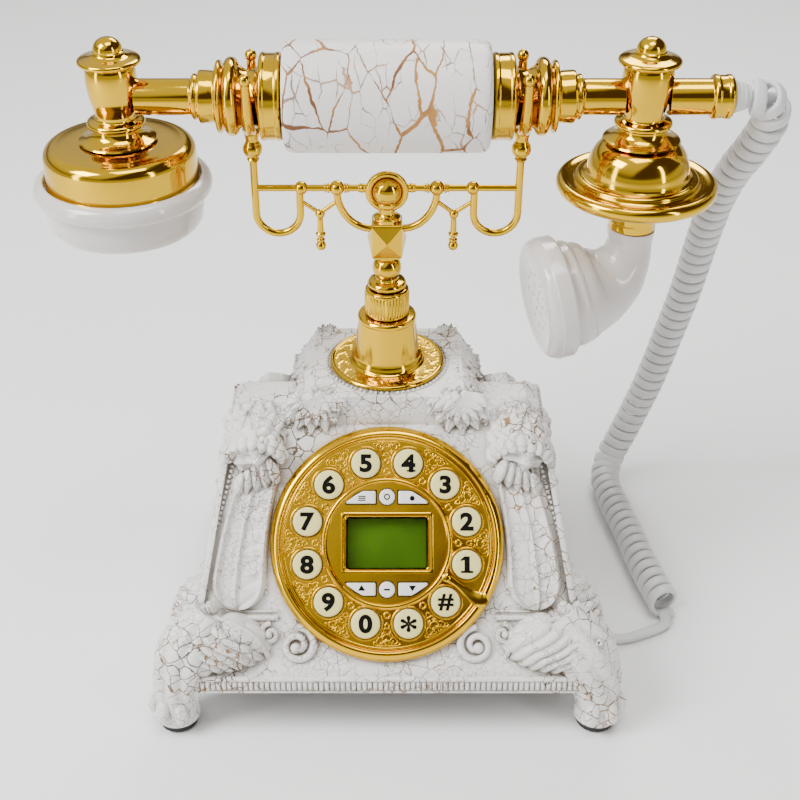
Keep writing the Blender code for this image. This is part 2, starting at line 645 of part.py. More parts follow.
def mouthpiece(m, frame):
    top = HANDSET_Z - 17.0 - GAP
    place = (MOUTH_X, 0, -HANDSET_Z)
    add_object("mouth_disc", lathe([
        (0, top), (11.0, top), (15.6, 216.0), (18.8, 211.0), (19.6, 206.0), (21.6, 204.6), (23.4, 203.4),
        (24.2, 202.2), (28.4, 202.8), (30.6, 202.0), (31.0, 199.8), (29.6, 197.6), (25.0, 196.0), (10.6, 194.4),
        (9.6, 192.6), (9.6, 186.0), (8.9, 185.4), (8.9, 182.6), (6.6, 182.6), (6.6, 196.2), (22.0, 198.0),
        (22.0, 200.6), (17.4, 205.0), (16.8, 210.4), (13.8, 214.6), (9.0, 217.0), (0, 217.0)], 20), m["gold"], frame, place)
    mouth_horn(m, frame, place)


# The horn's middle line, from under the disc to the back of the cap, as x, y, z and radius
HORN_LINE = ((0.0, 0.0, 182.2, 8.6), (-0.2, -0.1, 176.0, 8.6), (-1.4, -0.4, 169.0, 10.2),
             (-5.0, -1.0, 162.5, 13.4), (-11.0, -2.0, 158.0, 17.0), (-17.5, -3.2, 155.9, 20.2))
HORN_MOUTH = Vector((-25.0, -4.7, 154.4))
HORN_MOUTH_R = 21.8


def mouth_axis():
    """Direction that the mouthpiece faces: inwards, a little forwards and down."""
    turn, dip = math.radians(12), math.radians(8)
    return Vector((-math.cos(turn) * math.cos(dip), -math.sin(turn) * math.cos(dip), -math.sin(dip)))


def mouth_horn(m, frame, place):
    centres = [point[:3] for point in HORN_LINE]
    centres += [HORN_MOUTH - mouth_axis() * 3.5, HORN_MOUTH + mouth_axis() * 1.2]
    outer = [point[3] for point in HORN_LINE] + [HORN_MOUTH_R, HORN_MOUTH_R]
    horn = add_object("mouth_horn", sweep(centres, outer, 16), m["ivory"], frame, place)
    inner_line = centres[:-1] + [HORN_MOUTH + mouth_axis() * 4]
    cut(horn, sweep(inner_line[1:], [radius - 2.2 for radius in outer[1:]], 14), frame, place)
    horn.data.shade_smooth()
    horn.data.set_sharp_from_angle(angle=math.radians(35))
    aim = mouth_axis().to_track_quat("Z", "Y").to_matrix()
    cap_back = HORN_MOUTH + mouth_axis() * 1.5
    cap = lathe([(0, 6.0), (21.4, 6.0), (21.4, 0), (24.2, 0), (25.0, 1.0), (25.0, 6.0), (23.8, 9.6), (20.5, 11.2),
                 (10.0, 9.6), (0, 9.2)], 24)
    add_object("mouth_cap", aimed(cap, aim, cap_back), m["ivory"], frame, place)
    capsule = lathe([(0, -2.0), (12, -2.0), (12, 4.0), (10.5, 5.6), (0, 5.6)], 16)
    add_object("microphone", aimed(capsule, aim, cap_back), m["dark"], frame, place)


def aimed(shape, aim, centre):
    bmesh.ops.rotate(shape, cent=(0, 0, 0), matrix=aim, verts=shape.verts)
    bmesh.ops.translate(shape, vec=centre, verts=shape.verts)
    return shape


# ---------------------------------------------------------------- handset cord

# From the bush: up and over, down behind, onto the table and forwards
COIL_ROUTE = ((136.6, 12, 236), (143.5, 12.6, 234), (146.0, 16, 225), (143.5, 24, 211), (140, 34, 196),
              (138, 45, 177), (137.5, 57, 152), (136, 66, 124), (133, 75, 95), (128.5, 82.5, 64), (121.5, 88, 34),
              (114.5, 87, 14), (111.5, 75, 8.2), (113, 60, 7.8), (117.5, 32, 7.8), (121, 7, 7.8), (126, -17, 7.8))
# The flat end, along the table, under the base between its feet, and up to the plug at the back
TAIL_ROUTE = ((126.2, -17.8, 3.4), (125, -24, 2.3), (116, -29, 2.1), (104, -33, 2.1), (90, -30, 2.1),
              (77, -18, 2.1), (67, 6, 2.1), (61, 40, 2.1), (59, 75, 2.1), (58, 98, 3.0), (56, 112, 12),
              (52, 115, 27), (47.5, 106, 40), (45, 97, 43), (45, 91.4, 43))


def cord_tube(name, route, per_span, radius, resolution, surface):
    curve = bpy.data.curves.new(name, "CURVE")
    curve.dimensions = "3D"
    curve.bevel_depth = radius * MM
    curve.bevel_resolution = resolution
    curve.use_fill_caps = True
    line = curve.splines.new("POLY")
    points = smooth_points(route, per_span)
    line.points.add(len(points) - 1)
    for spot, point in zip(line.points, points):
        spot.co = (*(point * MM), 1.0)
    curve.materials.append(surface)
    made = bpy.data.objects.new(name, curve)
    bpy.context.scene.collection.objects.link(made)


def handset_cord(m):
    cord_tube("handset_cord_coil", COIL_ROUTE, 2, COIL_R, 3, m["cord"])
    cord_tube("handset_cord_tail", TAIL_ROUTE, 3, RIBBON_R, 2, m["cord"])
    face_y = JACK_Y + JACK_HALF_DEPTH
    plug = loft([[(x, face_y + y, z) for x, z in ((-w, -h), (w, -h), (w, h), (-w, h))]
                 for y, w, h in ((-8.0, 3.8, 3.0), (1.0, 3.8, 3.0), (1.8, 4.6, 3.8), (12.0, 3.6, 2.8))])
    add_object("handset_plug", plug, m["ivory"], None, (HANDSET_JACK_X, 0, JACK_Z))


# ---------------------------------------------------------------- the telephone

def build():
    clear_scene()
    m = make_materials()
    dial_frame = empty_at("dial_frame", DIAL_CENTRE, DIAL_TILT)
    column_frame = empty_at("column_frame", (0, COLUMN_Y, 0))
    handset_frame = empty_at("handset_frame", (0, COLUMN_Y, HANDSET_Z))
    bpy.context.view_layer.update()
    base_shell(m["resin"], dial_frame)
    base_fittings(m)
    dial_plate(m["gold"], dial_frame)
    finger_stop(m["gold"], dial_frame)
    keys(m, dial_frame)
    dial_insides(m, dial_frame)
    column(m, column_frame)
    cradle_frame(m["gold"], column_frame)
    cradle_fork("cradle_fork_left", -NECK_X, m["gold"], column_frame)
    cradle_fork("cradle_fork_right", NECK_X, m["gold"], column_frame)
    handset(m, handset_frame)
    earpiece(m, handset_frame)
    mouthpiece(m, handset_frame)
    handset_cord(m)


build()
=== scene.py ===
"""Looks of the antique-style push-button telephone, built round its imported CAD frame."""
import json
import math

import bmesh
import bpy
from mathutils import Matrix, Vector

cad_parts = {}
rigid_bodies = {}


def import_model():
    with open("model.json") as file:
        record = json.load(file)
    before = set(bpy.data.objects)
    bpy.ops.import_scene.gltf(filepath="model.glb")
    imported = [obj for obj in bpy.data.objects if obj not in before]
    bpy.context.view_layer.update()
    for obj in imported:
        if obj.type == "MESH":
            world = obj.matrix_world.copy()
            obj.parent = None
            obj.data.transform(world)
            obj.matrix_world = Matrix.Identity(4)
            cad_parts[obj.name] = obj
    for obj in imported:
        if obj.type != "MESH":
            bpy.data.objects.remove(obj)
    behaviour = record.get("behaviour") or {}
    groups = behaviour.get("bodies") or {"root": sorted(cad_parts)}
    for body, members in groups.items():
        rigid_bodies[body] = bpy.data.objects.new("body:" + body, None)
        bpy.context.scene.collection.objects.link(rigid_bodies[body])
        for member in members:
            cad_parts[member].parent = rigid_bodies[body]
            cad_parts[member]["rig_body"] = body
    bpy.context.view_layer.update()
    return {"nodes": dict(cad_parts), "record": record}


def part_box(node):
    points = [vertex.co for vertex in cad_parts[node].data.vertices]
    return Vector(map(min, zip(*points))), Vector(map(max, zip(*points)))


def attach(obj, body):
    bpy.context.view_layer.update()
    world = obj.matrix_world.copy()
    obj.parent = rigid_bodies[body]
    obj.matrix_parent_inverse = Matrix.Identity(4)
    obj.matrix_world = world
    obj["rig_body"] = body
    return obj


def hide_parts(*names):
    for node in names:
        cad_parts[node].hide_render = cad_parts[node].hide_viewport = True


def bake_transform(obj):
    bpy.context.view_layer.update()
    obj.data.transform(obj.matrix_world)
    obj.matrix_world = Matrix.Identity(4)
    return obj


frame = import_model()
NODES = frame["nodes"]
MM = 0.001
X, Y, Z = range(3)
SIDES = (-1, 1)


def middle(node, axis):
    """Middle of a CAD node's box along one axis, in millimetres."""
    return sum(corner[axis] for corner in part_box(node)) / 2 / MM


# Places taken from the frame, in millimetres
COLUMN_Y = middle("handset_grip", Y)
HANDSET_Z = middle("handset_grip", Z)
EAR_X = middle("ear_post", X)
MOUTH_X = middle("mouth_disc", X)
FORK_X = middle("cradle_fork_right", X)
BLOCK_TOP_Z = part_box("base_shell")[1][Z] / MM
BOARD_MIDDLE = Vector([middle("circuit_board", axis) for axis in (X, Y, Z)])

DIAL_TILT = math.radians(50)
DIAL_NORMAL = Vector((0, -math.sin(DIAL_TILT), math.cos(DIAL_TILT)))
DIAL_UP = Vector((0, math.cos(DIAL_TILT), math.sin(DIAL_TILT)))
BOARD_DEPTH = 11.6           # from the dial's front plane to the middle of the circuit board
DIAL_CENTRE = BOARD_MIDDLE + DIAL_NORMAL * BOARD_DEPTH
DIAL_FRAME = Matrix.Translation(DIAL_CENTRE) @ Matrix.Rotation(DIAL_TILT, 4, "X")


# ---------------------------------------------------------------- materials

class Nodes:
    """Builds the node tree of a material or a world in few words."""

    def __init__(self, owner, space="Object"):
        owner.use_nodes = True
        self.owner = owner
        self.tree = owner.node_tree
        self.where = self.node("ShaderNodeTexCoord").outputs[space]

    def node(self, kind, inputs=None, **settings):
        made = self.tree.nodes.new(kind)
        for key, value in settings.items():
            setattr(made, key, value)
        for key, value in (inputs or {}).items():
            self.feed(made.inputs[key], value)
        return made

    def feed(self, socket, value):
        if isinstance(value, bpy.types.NodeSocket):
            self.tree.links.new(value, socket)
        else:
            socket.default_value = value

    def set(self, name, value):
        self.feed(self.tree.nodes["Principled BSDF"].inputs[name], value)

    def noise(self, scale, detail=4.0, where=None):
        inputs = {"Vector": where or self.where, "Scale": scale, "Detail": detail}
        return self.node("ShaderNodeTexNoise", inputs).outputs["Fac"]

    def math(self, operation, a, b=0.0, clamp=False):
        return self.node("ShaderNodeMath", {0: a, 1: b}, operation=operation, use_clamp=clamp).outputs[0]

    def ramp(self, value, low, high, to_low=0.0, to_high=1.0, **settings):
        inputs = {"Value": value, "From Min": low, "From Max": high, "To Min": to_low, "To Max": to_high}
        return self.node("ShaderNodeMapRange", inputs, clamp=True, **settings).outputs["Result"]

    def mix(self, factor, a, b):
        made = self.node("ShaderNodeMix", {"Factor": factor}, data_type="RGBA")
        for socket, value in ((made.inputs[6], a), (made.inputs[7], b)):
            self.feed(socket, (*value, 1.0) if isinstance(value, tuple) and len(value) == 3 else value)
        return made.outputs[2]

    def vector(self, operation, inputs, out=0):
        return self.node("ShaderNodeVectorMath", inputs, operation=operation).outputs[out]

    def stretched(self, scale, where=None):
        return self.node("ShaderNodeMapping", {"Vector": where or self.where, "Scale": scale}).outputs[0]

    def jagged(self, reach, scale):
        """The object's coordinates, pushed about by rough noise."""
        inputs = {"Vector": self.where, "Scale": scale, "Detail": 6.0, "Roughness": 0.62}
        push = self.node("ShaderNodeTexNoise", inputs).outputs["Color"]
        centred = self.vector("SUBTRACT", {0: push, 1: (0.5, 0.5, 0.5)})
        shift = self.vector("SCALE", {0: centred, "Scale": reach})
        return self.vector("ADD", {0: self.where, 1: shift})

    def crack_lines(self, cells_per_metre, where, width):
        """1 on the borders of random cells, 0 away from them. A width of 0 closes the crack."""
        inputs = {"Vector": where, "Scale": cells_per_metre}
        edge = self.node("ShaderNodeTexVoronoi", inputs, feature="DISTANCE_TO_EDGE").outputs["Distance"]
        share = self.math("DIVIDE", edge, self.math("ADD", width, 0.0004))
        return self.math("SUBTRACT", 1.0, share, clamp=True)

    def bump(self, height, strength, distance, below=None):
        inputs = {"Height": height, "Strength": strength, "Distance": distance}
        if below is not None:
            inputs["Normal"] = below
        return self.node("ShaderNodeBump", inputs).outputs[0]


def new_material(name):
    return Nodes(bpy.data.materials.new(name))


def darker(colour, share):
    return tuple(c * share for c in colour)


def crackle(name, cell, line, shades, stretch=(1, 1, 1), white=(0.78, 0.77, 0.75)):
    """White lacquer crazed over a brown ground: wide cracks, fine ones between, painted shade in the hollows.
    """
    n = new_material(name)
    fine_share = 2.3                 # fine cells to one wide cell, along a line
    laid = n.stretched(stretch, n.jagged(0.0045, 90.0))
    wide = n.crack_lines(1.0 / cell, laid, n.ramp(n.noise(38.0, 3.0), 0.40, 0.60, 0.0, line))
    fine = n.crack_lines(fine_share / cell, laid, n.ramp(n.noise(60.0, 2.0), 0.44, 0.64, 0.0, line))
    crack = n.math("MAXIMUM", n.ramp(wide, 0.0, 0.22), n.ramp(fine, 0.0, 0.4, 0.0, 0.8))
    ground = n.mix(n.ramp(n.noise(70.0, 3.0), 0.4, 0.6), *shades)
    lacquer = n.mix(n.ramp(n.noise(24.0, 5.0), 0.3, 0.7), white, darker(white, 0.94))
    # Painted shade: ambient occlusion turns the lacquer grey-beige in the hollows of the relief.
    openness = n.node("ShaderNodeAmbientOcclusion", {"Distance": 0.0035}, samples=4).outputs["AO"]
    lacquer_with_painted_shade = n.mix(n.ramp(openness, 0.25, 0.85), (0.36, 0.32, 0.27), lacquer)
    n.set("Base Color", n.mix(crack, lacquer_with_painted_shade, ground))
    n.set("Roughness", n.ramp(crack, 0.0, 1.0, 0.40, 0.65))
    plates = n.bump(crack, 0.6, -0.0006)
    n.set("Normal", n.bump(n.noise(900.0, 3.0), 0.12, 0.0003, plates))
    return n.owner


def metal(name, colour=(0.69, 0.42, 0.013), roughness=0.08, ripple=0.06):
    """Polished plate with a faint waviness, handling marks and hairline scratches."""
    n = new_material(name)
    n.set("Base Color", n.mix(n.ramp(n.noise(22.0, 4.0), 0.3, 0.7), colour, darker(colour, 0.88)))
    n.set("Metallic", 1.0)
    scratches = n.ramp(n.noise(3.0, 2.0, n.stretched((40, 900, 900))), 0.62, 0.75)
    marks = n.ramp(n.noise(60.0, 5.0), 0.35, 0.75, roughness, roughness + 0.07)
    n.set("Roughness", n.math("ADD", marks, n.math("MULTIPLY", scratches, 0.06)))
    wave = n.bump(n.noise(45.0, 1.0), ripple, 0.002)
    n.set("Normal", n.bump(n.noise(700.0, 2.0), 0.02, 0.0003, wave))
    return n.owner


def plastic(name, colour, roughness, mottle=0.04, speck=0.06, coat=0.0, shine=0.5):
    """Moulded plastic: a slight cloudiness, orange-peel and dust-fine grain."""
    n = new_material(name)
    n.set("Base Color", n.mix(n.ramp(n.noise(35.0, 4.0), 0.3, 0.7), colour, darker(colour, 1 - mottle)))
    n.set("Roughness", n.ramp(n.noise(120.0, 3.0), 0.3, 0.7, roughness, roughness + 0.06))
    peel = n.bump(n.noise(260.0, 2.0), speck, 0.0006)
    n.set("Normal", n.bump(n.noise(2400.0, 2.0), speck * 0.6, 0.0001, peel))
    n.set("Specular IOR Level", shine)
    if coat:
        n.set("Coat Weight", coat)
        n.set("Coat Roughness", 0.06)
    return n.owner


def display_green():
    """Reflective green display: a cloudy green under a faint grid of dark dots."""
    n = new_material("display_green")
    dots = n.node("ShaderNodeTexVoronoi", {"Vector": n.where, "Scale": 1400.0}, feature="F1")
    green = n.mix(n.ramp(n.noise(30.0, 2.0), 0.3, 0.7), (0.030, 0.080, 0.0003), (0.075, 0.150, 0.0006))
    dimmed = n.ramp(dots.outputs["Distance"], 0.2, 0.6, 0.0, 0.12)
    n.set("Base Color", n.mix(dimmed, green, (0.01, 0.03, 0.0)))
    n.set("Roughness", 0.42)
    n.set("Specular IOR Level", 0.15)
    return n.owner


def clear_glass():
    """The display's window: slightly green, slightly uneven."""
    n = new_material("window_glass")
    n.set("Base Color", (0.90, 0.97, 0.86, 1))
    n.set("Roughness", n.ramp(n.noise(90.0, 3.0), 0.3, 0.7, 0.02, 0.06))
    n.set("Transmission Weight", 1.0)
    n.set("IOR", 1.14)
    n.set("Normal", n.bump(n.noise(20.0, 1.0), 0.02, 0.001))
    return n.owner


MATERIALS = {
    "base": crackle("crackle_base", 0.0058, 0.034, ((0.10, 0.065, 0.04), (0.30, 0.17, 0.07))),
    "grip": crackle("crackle_grip", 0.0190, 0.036, ((0.16, 0.055, 0.012), (0.42, 0.19, 0.035)),
                    (1.35, 0.6, 0.6), (0.74, 0.72, 0.70)),
    "gold": metal("gold_plate"),
    "dial_gold": metal("gold_dial", (0.77, 0.45, 0.013), 0.09, 0.14),
    "relief_gold": metal("gold_relief", (0.79, 0.465, 0.015), 0.16, 0.1),
    "ivory": plastic("ivory_gloss", (0.60, 0.565, 0.54), 0.16, coat=0.5),
    "key": plastic("cream_key", (0.78, 0.70, 0.27), 0.30, coat=0.15),
    "function_key": plastic("white_key", (0.80, 0.79, 0.75), 0.32),
    "ink": plastic("black_ink", (0.003, 0.003, 0.003), 0.60, shine=0.08),
    "rubber": plastic("black_rubber", (0.018, 0.018, 0.018), 0.70, 0.2, 0.2),
    "dark": plastic("dark_plastic", (0.03, 0.03, 0.03), 0.50),
    "steel": metal("zinc_steel", (0.62, 0.62, 0.64), 0.25),
    "board": plastic("board_green", (0.03, 0.16, 0.05), 0.40),
    "mat": plastic("grey_silicone", (0.35, 0.35, 0.36), 0.65),
    "cord": plastic("cord_grey", (0.60, 0.60, 0.605), 0.33),
    "display": display_green(),
    "glass": clear_glass(),
}

# The record's slot for each material whose name differs from it
SLOTS = {"base": "resin", "grip": "resin", "dial_gold": "gold", "relief_gold": "gold", "ink": "dark"}


def dress_nodes():
    """Give every CAD node that stays in sight its material."""
    for entry in frame["record"]["subparts"]:
        node, slot = NODES[entry["node"]], entry["material_slot"]
        node.data.materials.clear()
        node.data.materials.append(MATERIALS["base" if slot == "resin" else slot])
    NODES["handset_grip"].data.materials[0] = MATERIALS["grip"]


# ---------------------------------------------------------------- mesh helpers, in millimetres

def finish_piece(name, shape, surface, body, matrix=None, smooth_angle=40.0):
    """A named, smooth-shaded piece in metres that rides on a body."""
    bmesh.ops.remove_doubles(shape, verts=shape.verts, dist=0.0005)
    bmesh.ops.recalc_face_normals(shape, faces=shape.faces)
    if matrix is not None:
        bmesh.ops.transform(shape, matrix=matrix, verts=shape.verts)
    bmesh.ops.scale(shape, vec=(MM, MM, MM), verts=shape.verts)
    mesh = bpy.data.meshes.new(name)
    shape.to_mesh(mesh)
    shape.free()
    mesh.materials.append(surface)
    mesh.shade_smooth()
    mesh.set_sharp_from_angle(angle=math.radians(smooth_angle))
    made = bpy.data.objects.new(name, mesh)
    bpy.context.scene.collection.objects.link(made)
    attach(made, body)
    return made


def detail(name, shape, look, body="base", smooth_angle=40.0, matrix=None):
    """A visible piece beside the CAD ones."""
    piece = finish_piece(name, shape, MATERIALS[look], body, matrix, smooth_angle)
    SLOTS.get(look, look)
    return piece


def stand_for(name, node, shape, look, body="base", smooth_angle=40.0, matrix=None):
    """A detailed piece in place of one CAD node."""
    piece = detail(name, shape, look, body, smooth_angle, matrix)
    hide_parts(node)
    return piece


def merged(shapes):
    """One bmesh from several."""
    whole = bmesh.new()
    for shape in shapes:
        scrap = bpy.data.meshes.new("scrap")
        shape.to_mesh(scrap)
        shape.free()
        whole.from_mesh(scrap)
        bpy.data.meshes.remove(scrap)
    return whole


def rounded_outline(points, radius, steps=3, closed=False):
    """The outline with each corner between two edges replaced by a short curve."""
    count = len(points)
    result = []
    for i, point in enumerate(points):
        if not closed and i in (0, count - 1):
            result.append(point)
            continue
        here, before, after = Vector(point), Vector(points[i - 1]), Vector(points[(i + 1) % count])
        reach_in = min(radius, (before - here).length * 0.45)
        reach_out = min(radius, (after - here).length * 0.45)
        start = here + (before - here).normalized() * reach_in
        end = here + (after - here).normalized() * reach_out
        for k in range(steps + 1):
            t = k / steps
            result.append(tuple(start * (1 - t) ** 2 + here * 2 * t * (1 - t) + end * t * t))
    return result


def rounded_box(half_w, half_h, radius, steps):
    """Outline of a rectangle about the origin, with rounded corners."""
    corners = [(-half_w, -half_h), (half_w, -half_h), (half_w, half_h), (-half_w, half_h)]
    return rounded_outline(corners, radius, steps, closed=True)


def arc(centre_r, centre_h, radius, start, end, steps):
    """Points of an arc, its angles in degrees."""
    turns = [math.radians(start + (end - start) * i / steps) for i in range(steps + 1)]
    return [(centre_r + radius * math.cos(a), centre_h + radius * math.sin(a)) for a in turns]


def circle(steps):
    """Angles all the way round, evenly spaced."""
    return [2 * math.pi * i / steps for i in range(steps)]


def bridge(shape, lower, upper):
    """Faces between two closed rings of the same number of corners."""
    for i in range(len(lower)):
        j = (i + 1) % len(lower)
        shape.faces.new((lower[i], lower[j], upper[j], upper[i]))


def lathe(outline, segments, ripple=None):
    """Turn (radius, height) points about Z. ripple(angle, radius, height) gives a change of radius."""
    shape = bmesh.new()
    rings = []
    for radius, height in outline:
        if radius <= 1e-6:
            rings.append([shape.verts.new((0, 0, height))])
            continue
        ring = []
        for a in circle(segments):
            r = radius + (ripple(a, radius, height) if ripple else 0)
            ring.append(shape.verts.new((r * math.cos(a), r * math.sin(a), height)))
        rings.append(ring)
    pairs = list(zip(rings, rings[1:]))
    if len(rings[0]) > 1:
        pairs.append((rings[-1], rings[0]))
    for lower, upper in pairs:
        for i in range(segments):
            j = (i + 1) % segments
            corners = (lower[i % len(lower)], lower[j % len(lower)],
                       upper[j % len(upper)], upper[i % len(upper)])
            face = list(dict.fromkeys(corners))
            if len(face) > 2:
                shape.faces.new(face)
    return shape


def smooth_points(points, per_span):
    """Points on a smooth curve through the given ones."""
    knots = [Vector(p) for p in points]
    knots = [knots[0] * 2 - knots[1]] + knots + [knots[-1] * 2 - knots[-2]]
    curve = []
    for i in range(1, len(knots) - 2):
        before, start, end, after = knots[i - 1:i + 3]
        for step in range(per_span):
            t = step / per_span
            curve.append(0.5 * (2 * start + (end - before) * t
                                + (2 * before - 5 * start + 4 * end - after) * t * t
                                + (3 * start - before - 3 * end + after) * t ** 3))
    return curve + [knots[-2]]


def flowing(points, per_span=4):
    """A smooth outline through (radius, height) points."""
    return [tuple(p) for p in smooth_points(points, per_span)]


def path_length(points):
    return sum((b - a).length for a, b in zip(points, points[1:]))


def even_points(points, count):
    """The same curve as count points at even spacing."""
    lengths = [0.0]
    for a, b in zip(points, points[1:]):
        lengths.append(lengths[-1] + (b - a).length)
    result, k = [], 0
    for i in range(count):
        goal = lengths[-1] * i / (count - 1)
        while k < len(lengths) - 2 and lengths[k + 1] < goal:
            k += 1
        t = (goal - lengths[k]) / (lengths[k + 1] - lengths[k])
        result.append(points[k].lerp(points[k + 1], t))
    return result


def direction(path, i):
    """Which way a path runs at its point i."""
    return (path[min(i + 1, len(path) - 1)] - path[max(i - 1, 0)]).normalized()


def frames_along(path):
    """(centre, across, side) at each point of a path, turning as little as possible."""
    across = None
    frames = []
    for i, centre in enumerate(path):
        ahead = direction(path, i)
        if across is None:
            guess = Vector((1, 0, 0)) if abs(ahead.x) < 0.8 else Vector((0, 1, 0))
            across = ahead.cross(guess).normalized()
        across = (across - ahead * across.dot(ahead)).normalized()
        frames.append((centre, across, ahead.cross(across)))
    return frames


def skin(rings):
    """A closed solid through rings of points, with flat ends."""
    shape = bmesh.new()
    made = [[shape.verts.new(point) for point in ring] for ring in rings]
    for lower, upper in zip(made, made[1:]):
        bridge(shape, lower, upper)
    shape.faces.new(made[0])
    shape.faces.new(made[-1])
    return shape


def prism(outline, low, high):
    return skin([[Vector((x, y, z)) for x, y in outline] for z in (low, high)])


def tube(points, radii, sides=16, ripple=None):
    """A round rod along the points. ripple(angle, position 0 to 1) scales its radius."""
    path = [Vector(p) for p in points]
    if not isinstance(radii, (list, tuple)):
        radii = [radii] * len(path)
    rings = []
    for i, (centre, across, side) in enumerate(frames_along(path)):
        ring = []
        for a in circle(sides):
            r = radii[i] * (ripple(a, i / (len(path) - 1)) if ripple else 1)
            ring.append(centre + (across * math.cos(a) + side * math.sin(a)) * r)
        rings.append(ring)
    return skin(rings)


def lump(centre, radii, sides=20, rings=12, ripple=None, turn=None):
    """An ellipsoid; ripple(longitude, latitude) scales its radius."""
    outline = [(math.cos(a), math.sin(a)) for a in (math.pi * (i / rings - 0.5) for i in range(rings + 1))]
    outline[0], outline[-1] = (0, -1), (0, 1)
    shape = lathe(outline, sides)
    for vert in shape.verts:
        if ripple:
            longitude = math.atan2(vert.co.y, vert.co.x)
            vert.co *= ripple(longitude, math.asin(max(-1, min(1, vert.co.z))))
        vert.co = Vector((vert.co.x * radii[0], vert.co.y * radii[1], vert.co.z * radii[2]))
        if turn:
            vert.co = turn @ vert.co
        vert.co += Vector(centre)
    return shape


def ball(centre, radius, sides, rings):
    return lump(centre, (radius,) * 3, sides, rings)


def turn_about(axis, degrees):
    return Matrix.Rotation(math.radians(degrees), 3, axis)


AXIS_ALONG_X = turn_about("Y", 90)
AXIS_ALONG_Y = turn_about("X", 90)


def placed(shape, x=0.0, y=0.0, z=0.0, turn=None):
    """The shape, turned about the origin and then moved."""
    if turn is not None:
        bmesh.ops.rotate(shape, cent=(0, 0, 0), matrix=turn, verts=shape.verts)
    bmesh.ops.translate(shape, vec=(x, y, z), verts=shape.verts)
    return shape


def cut(piece, shape, matrix=None):
    """Cut a closed shape out of a piece."""
    tool = finish_piece("cutter", shape, piece.data.materials[0], "base", matrix)
    change = piece.modifiers.new("cut", "BOOLEAN")
    change.operation, change.object, change.solver = "DIFFERENCE", tool, "MANIFOLD"
    result = bpy.data.meshes.new_from_object(piece.evaluated_get(bpy.context.evaluated_depsgraph_get()))
    piece.modifiers.remove(change)
    piece.data = result
    bpy.data.objects.remove(tool)


# ---------------------------------------------------------------- handset

FINE = 96                    # segments round a large turned piece
TUBE_R = 6.75                # plain tube of the handset's arms
POST_FOOT_Z = HANDSET_Z - 17.3
METAL_ANGLE = 32             # edges sharper than this stay crisp on turned metal


def on_handset(shape, x=0.0, turn=None):
    """A shape made about the handset's axis, moved into place."""
    if turn is not None:
        bmesh.ops.rotate(shape, cent=(0, 0, 0), matrix=turn, verts=shape.verts)
    return placed(shape, x, COLUMN_Y, HANDSET_Z)


def arm_outline(tip_x):
    """Half of the handset's metal: ferrule, neck, ring, collar and tube."""
    ferrule = rounded_outline([
        (4.6, 24.0), (6.6, 24.0), (6.6, 38.8), (12.0, 38.8), (12.0, 39.2), (15.7, 39.2), (16.3, 39.8),
        (16.3, 41.0), (16.0, 41.3), (16.0, 45.2), (16.3, 45.5), (16.3, 46.6), (15.4, 47.3),
        (12.3, 47.6)], 0.3)
    neck = flowing([(12.3, 47.6), (11.0, 48.6), (10.0, 50.6), (10.0, 52.4), (11.0, 54.2), (11.8, 55.2)])
    ring = arc(12.0, 58.0, 2.6, -80, 80, 14)
    collar = rounded_outline([
        (11.2, 60.9), (11.0, 61.3), (12.8, 61.5), (13.5, 62.1), (13.5, 63.0), (12.9, 63.5), (10.0, 63.8),
        (9.5, 64.2), (9.7, 66.0), (9.9, 69.4), (9.7, 70.1), (8.3, 70.3), (8.1, 70.8), (8.5, 71.4),
        (8.5, 72.3),
        (7.6, 72.9), (6.8, 73.2), (TUBE_R, 74.0), (TUBE_R, tip_x), (4.6, tip_x)], 0.3)
    return ferrule + neck[1:] + ring + collar


def post_outline():
    """Turned post on a flared foot: ring, barrel, brimmed disc and round finial."""
    foot = [(0, -17.0), (14.4, -17.0), (14.9, -16.6), (14.5, -16.1)]
    waist = flowing([(14.5, -16.1), (12.2, -15.3), (10.2, -13.9), (9.3, -12.3), (9.2, -11.5)])
    ring = arc(9.7, -9.9, 1.35, -75, 75, 10)
    barrel = flowing([(9.0, -8.5), (7.7, -8.0), (7.5, -6.6), (7.9, -4.2), (8.8, -0.6), (9.4, 3.4), (9.6, 7.0),
                      (9.4, 10.4), (8.9, 12.2)], 5)
    brim = flowing([(8.9, 12.3), (10.4, 12.6), (11.5, 13.2), (11.8, 14.0), (11.3, 14.8), (9.6, 15.3),
                    (7.6, 15.8), (6.3, 16.5), (5.8, 17.3)])
    dome = [(5.4 * math.cos(a), 18.1 + 4.6 * math.sin(a)) for a in (math.pi / 20 * i for i in range(10))]
    return foot + waist[1:] + ring + barrel + brim + [(5.8, 17.5), (5.4, 17.8)] + dome + [(0, 22.7)]


def handset_metal():
    """Both arms and both posts, gold plated."""
    tip = 8.4                # the arms end this far short of the posts' axes
    for side, tip_x, turn in (("left", -EAR_X - tip, turn_about("Z", 180)), ("right", MOUTH_X - tip, None)):
        shape = placed(lathe(arm_outline(tip_x), FINE), turn=AXIS_ALONG_X)
        stand_for(f"{side}_arm", f"handset_arm_{side}", on_handset(shape, 0, turn), "gold", "handset",
                  METAL_ANGLE)
    ear = on_handset(lathe(post_outline(), FINE), EAR_X)
    stand_for("turned_ear_post", "ear_post", ear, "gold", "handset", METAL_ANGLE)
    stub = rounded_outline([(0, 8.4), (TUBE_R, 8.4), (TUBE_R, 24.0), (7.8, 24.3), (8.3, 24.9), (8.3, 26.2),
                            (8.0, 26.6), (8.0, 29.4), (8.3, 29.8), (8.3, 31.1), (7.6, 32.0), (0, 32.2)], 0.3)
    mouth = merged([lathe(post_outline(), FINE), placed(lathe(stub, FINE), turn=AXIS_ALONG_X)])
    stand_for("turned_mouth_post", "mouth_post", on_handset(mouth, MOUTH_X), "gold", "handset", METAL_ANGLE)


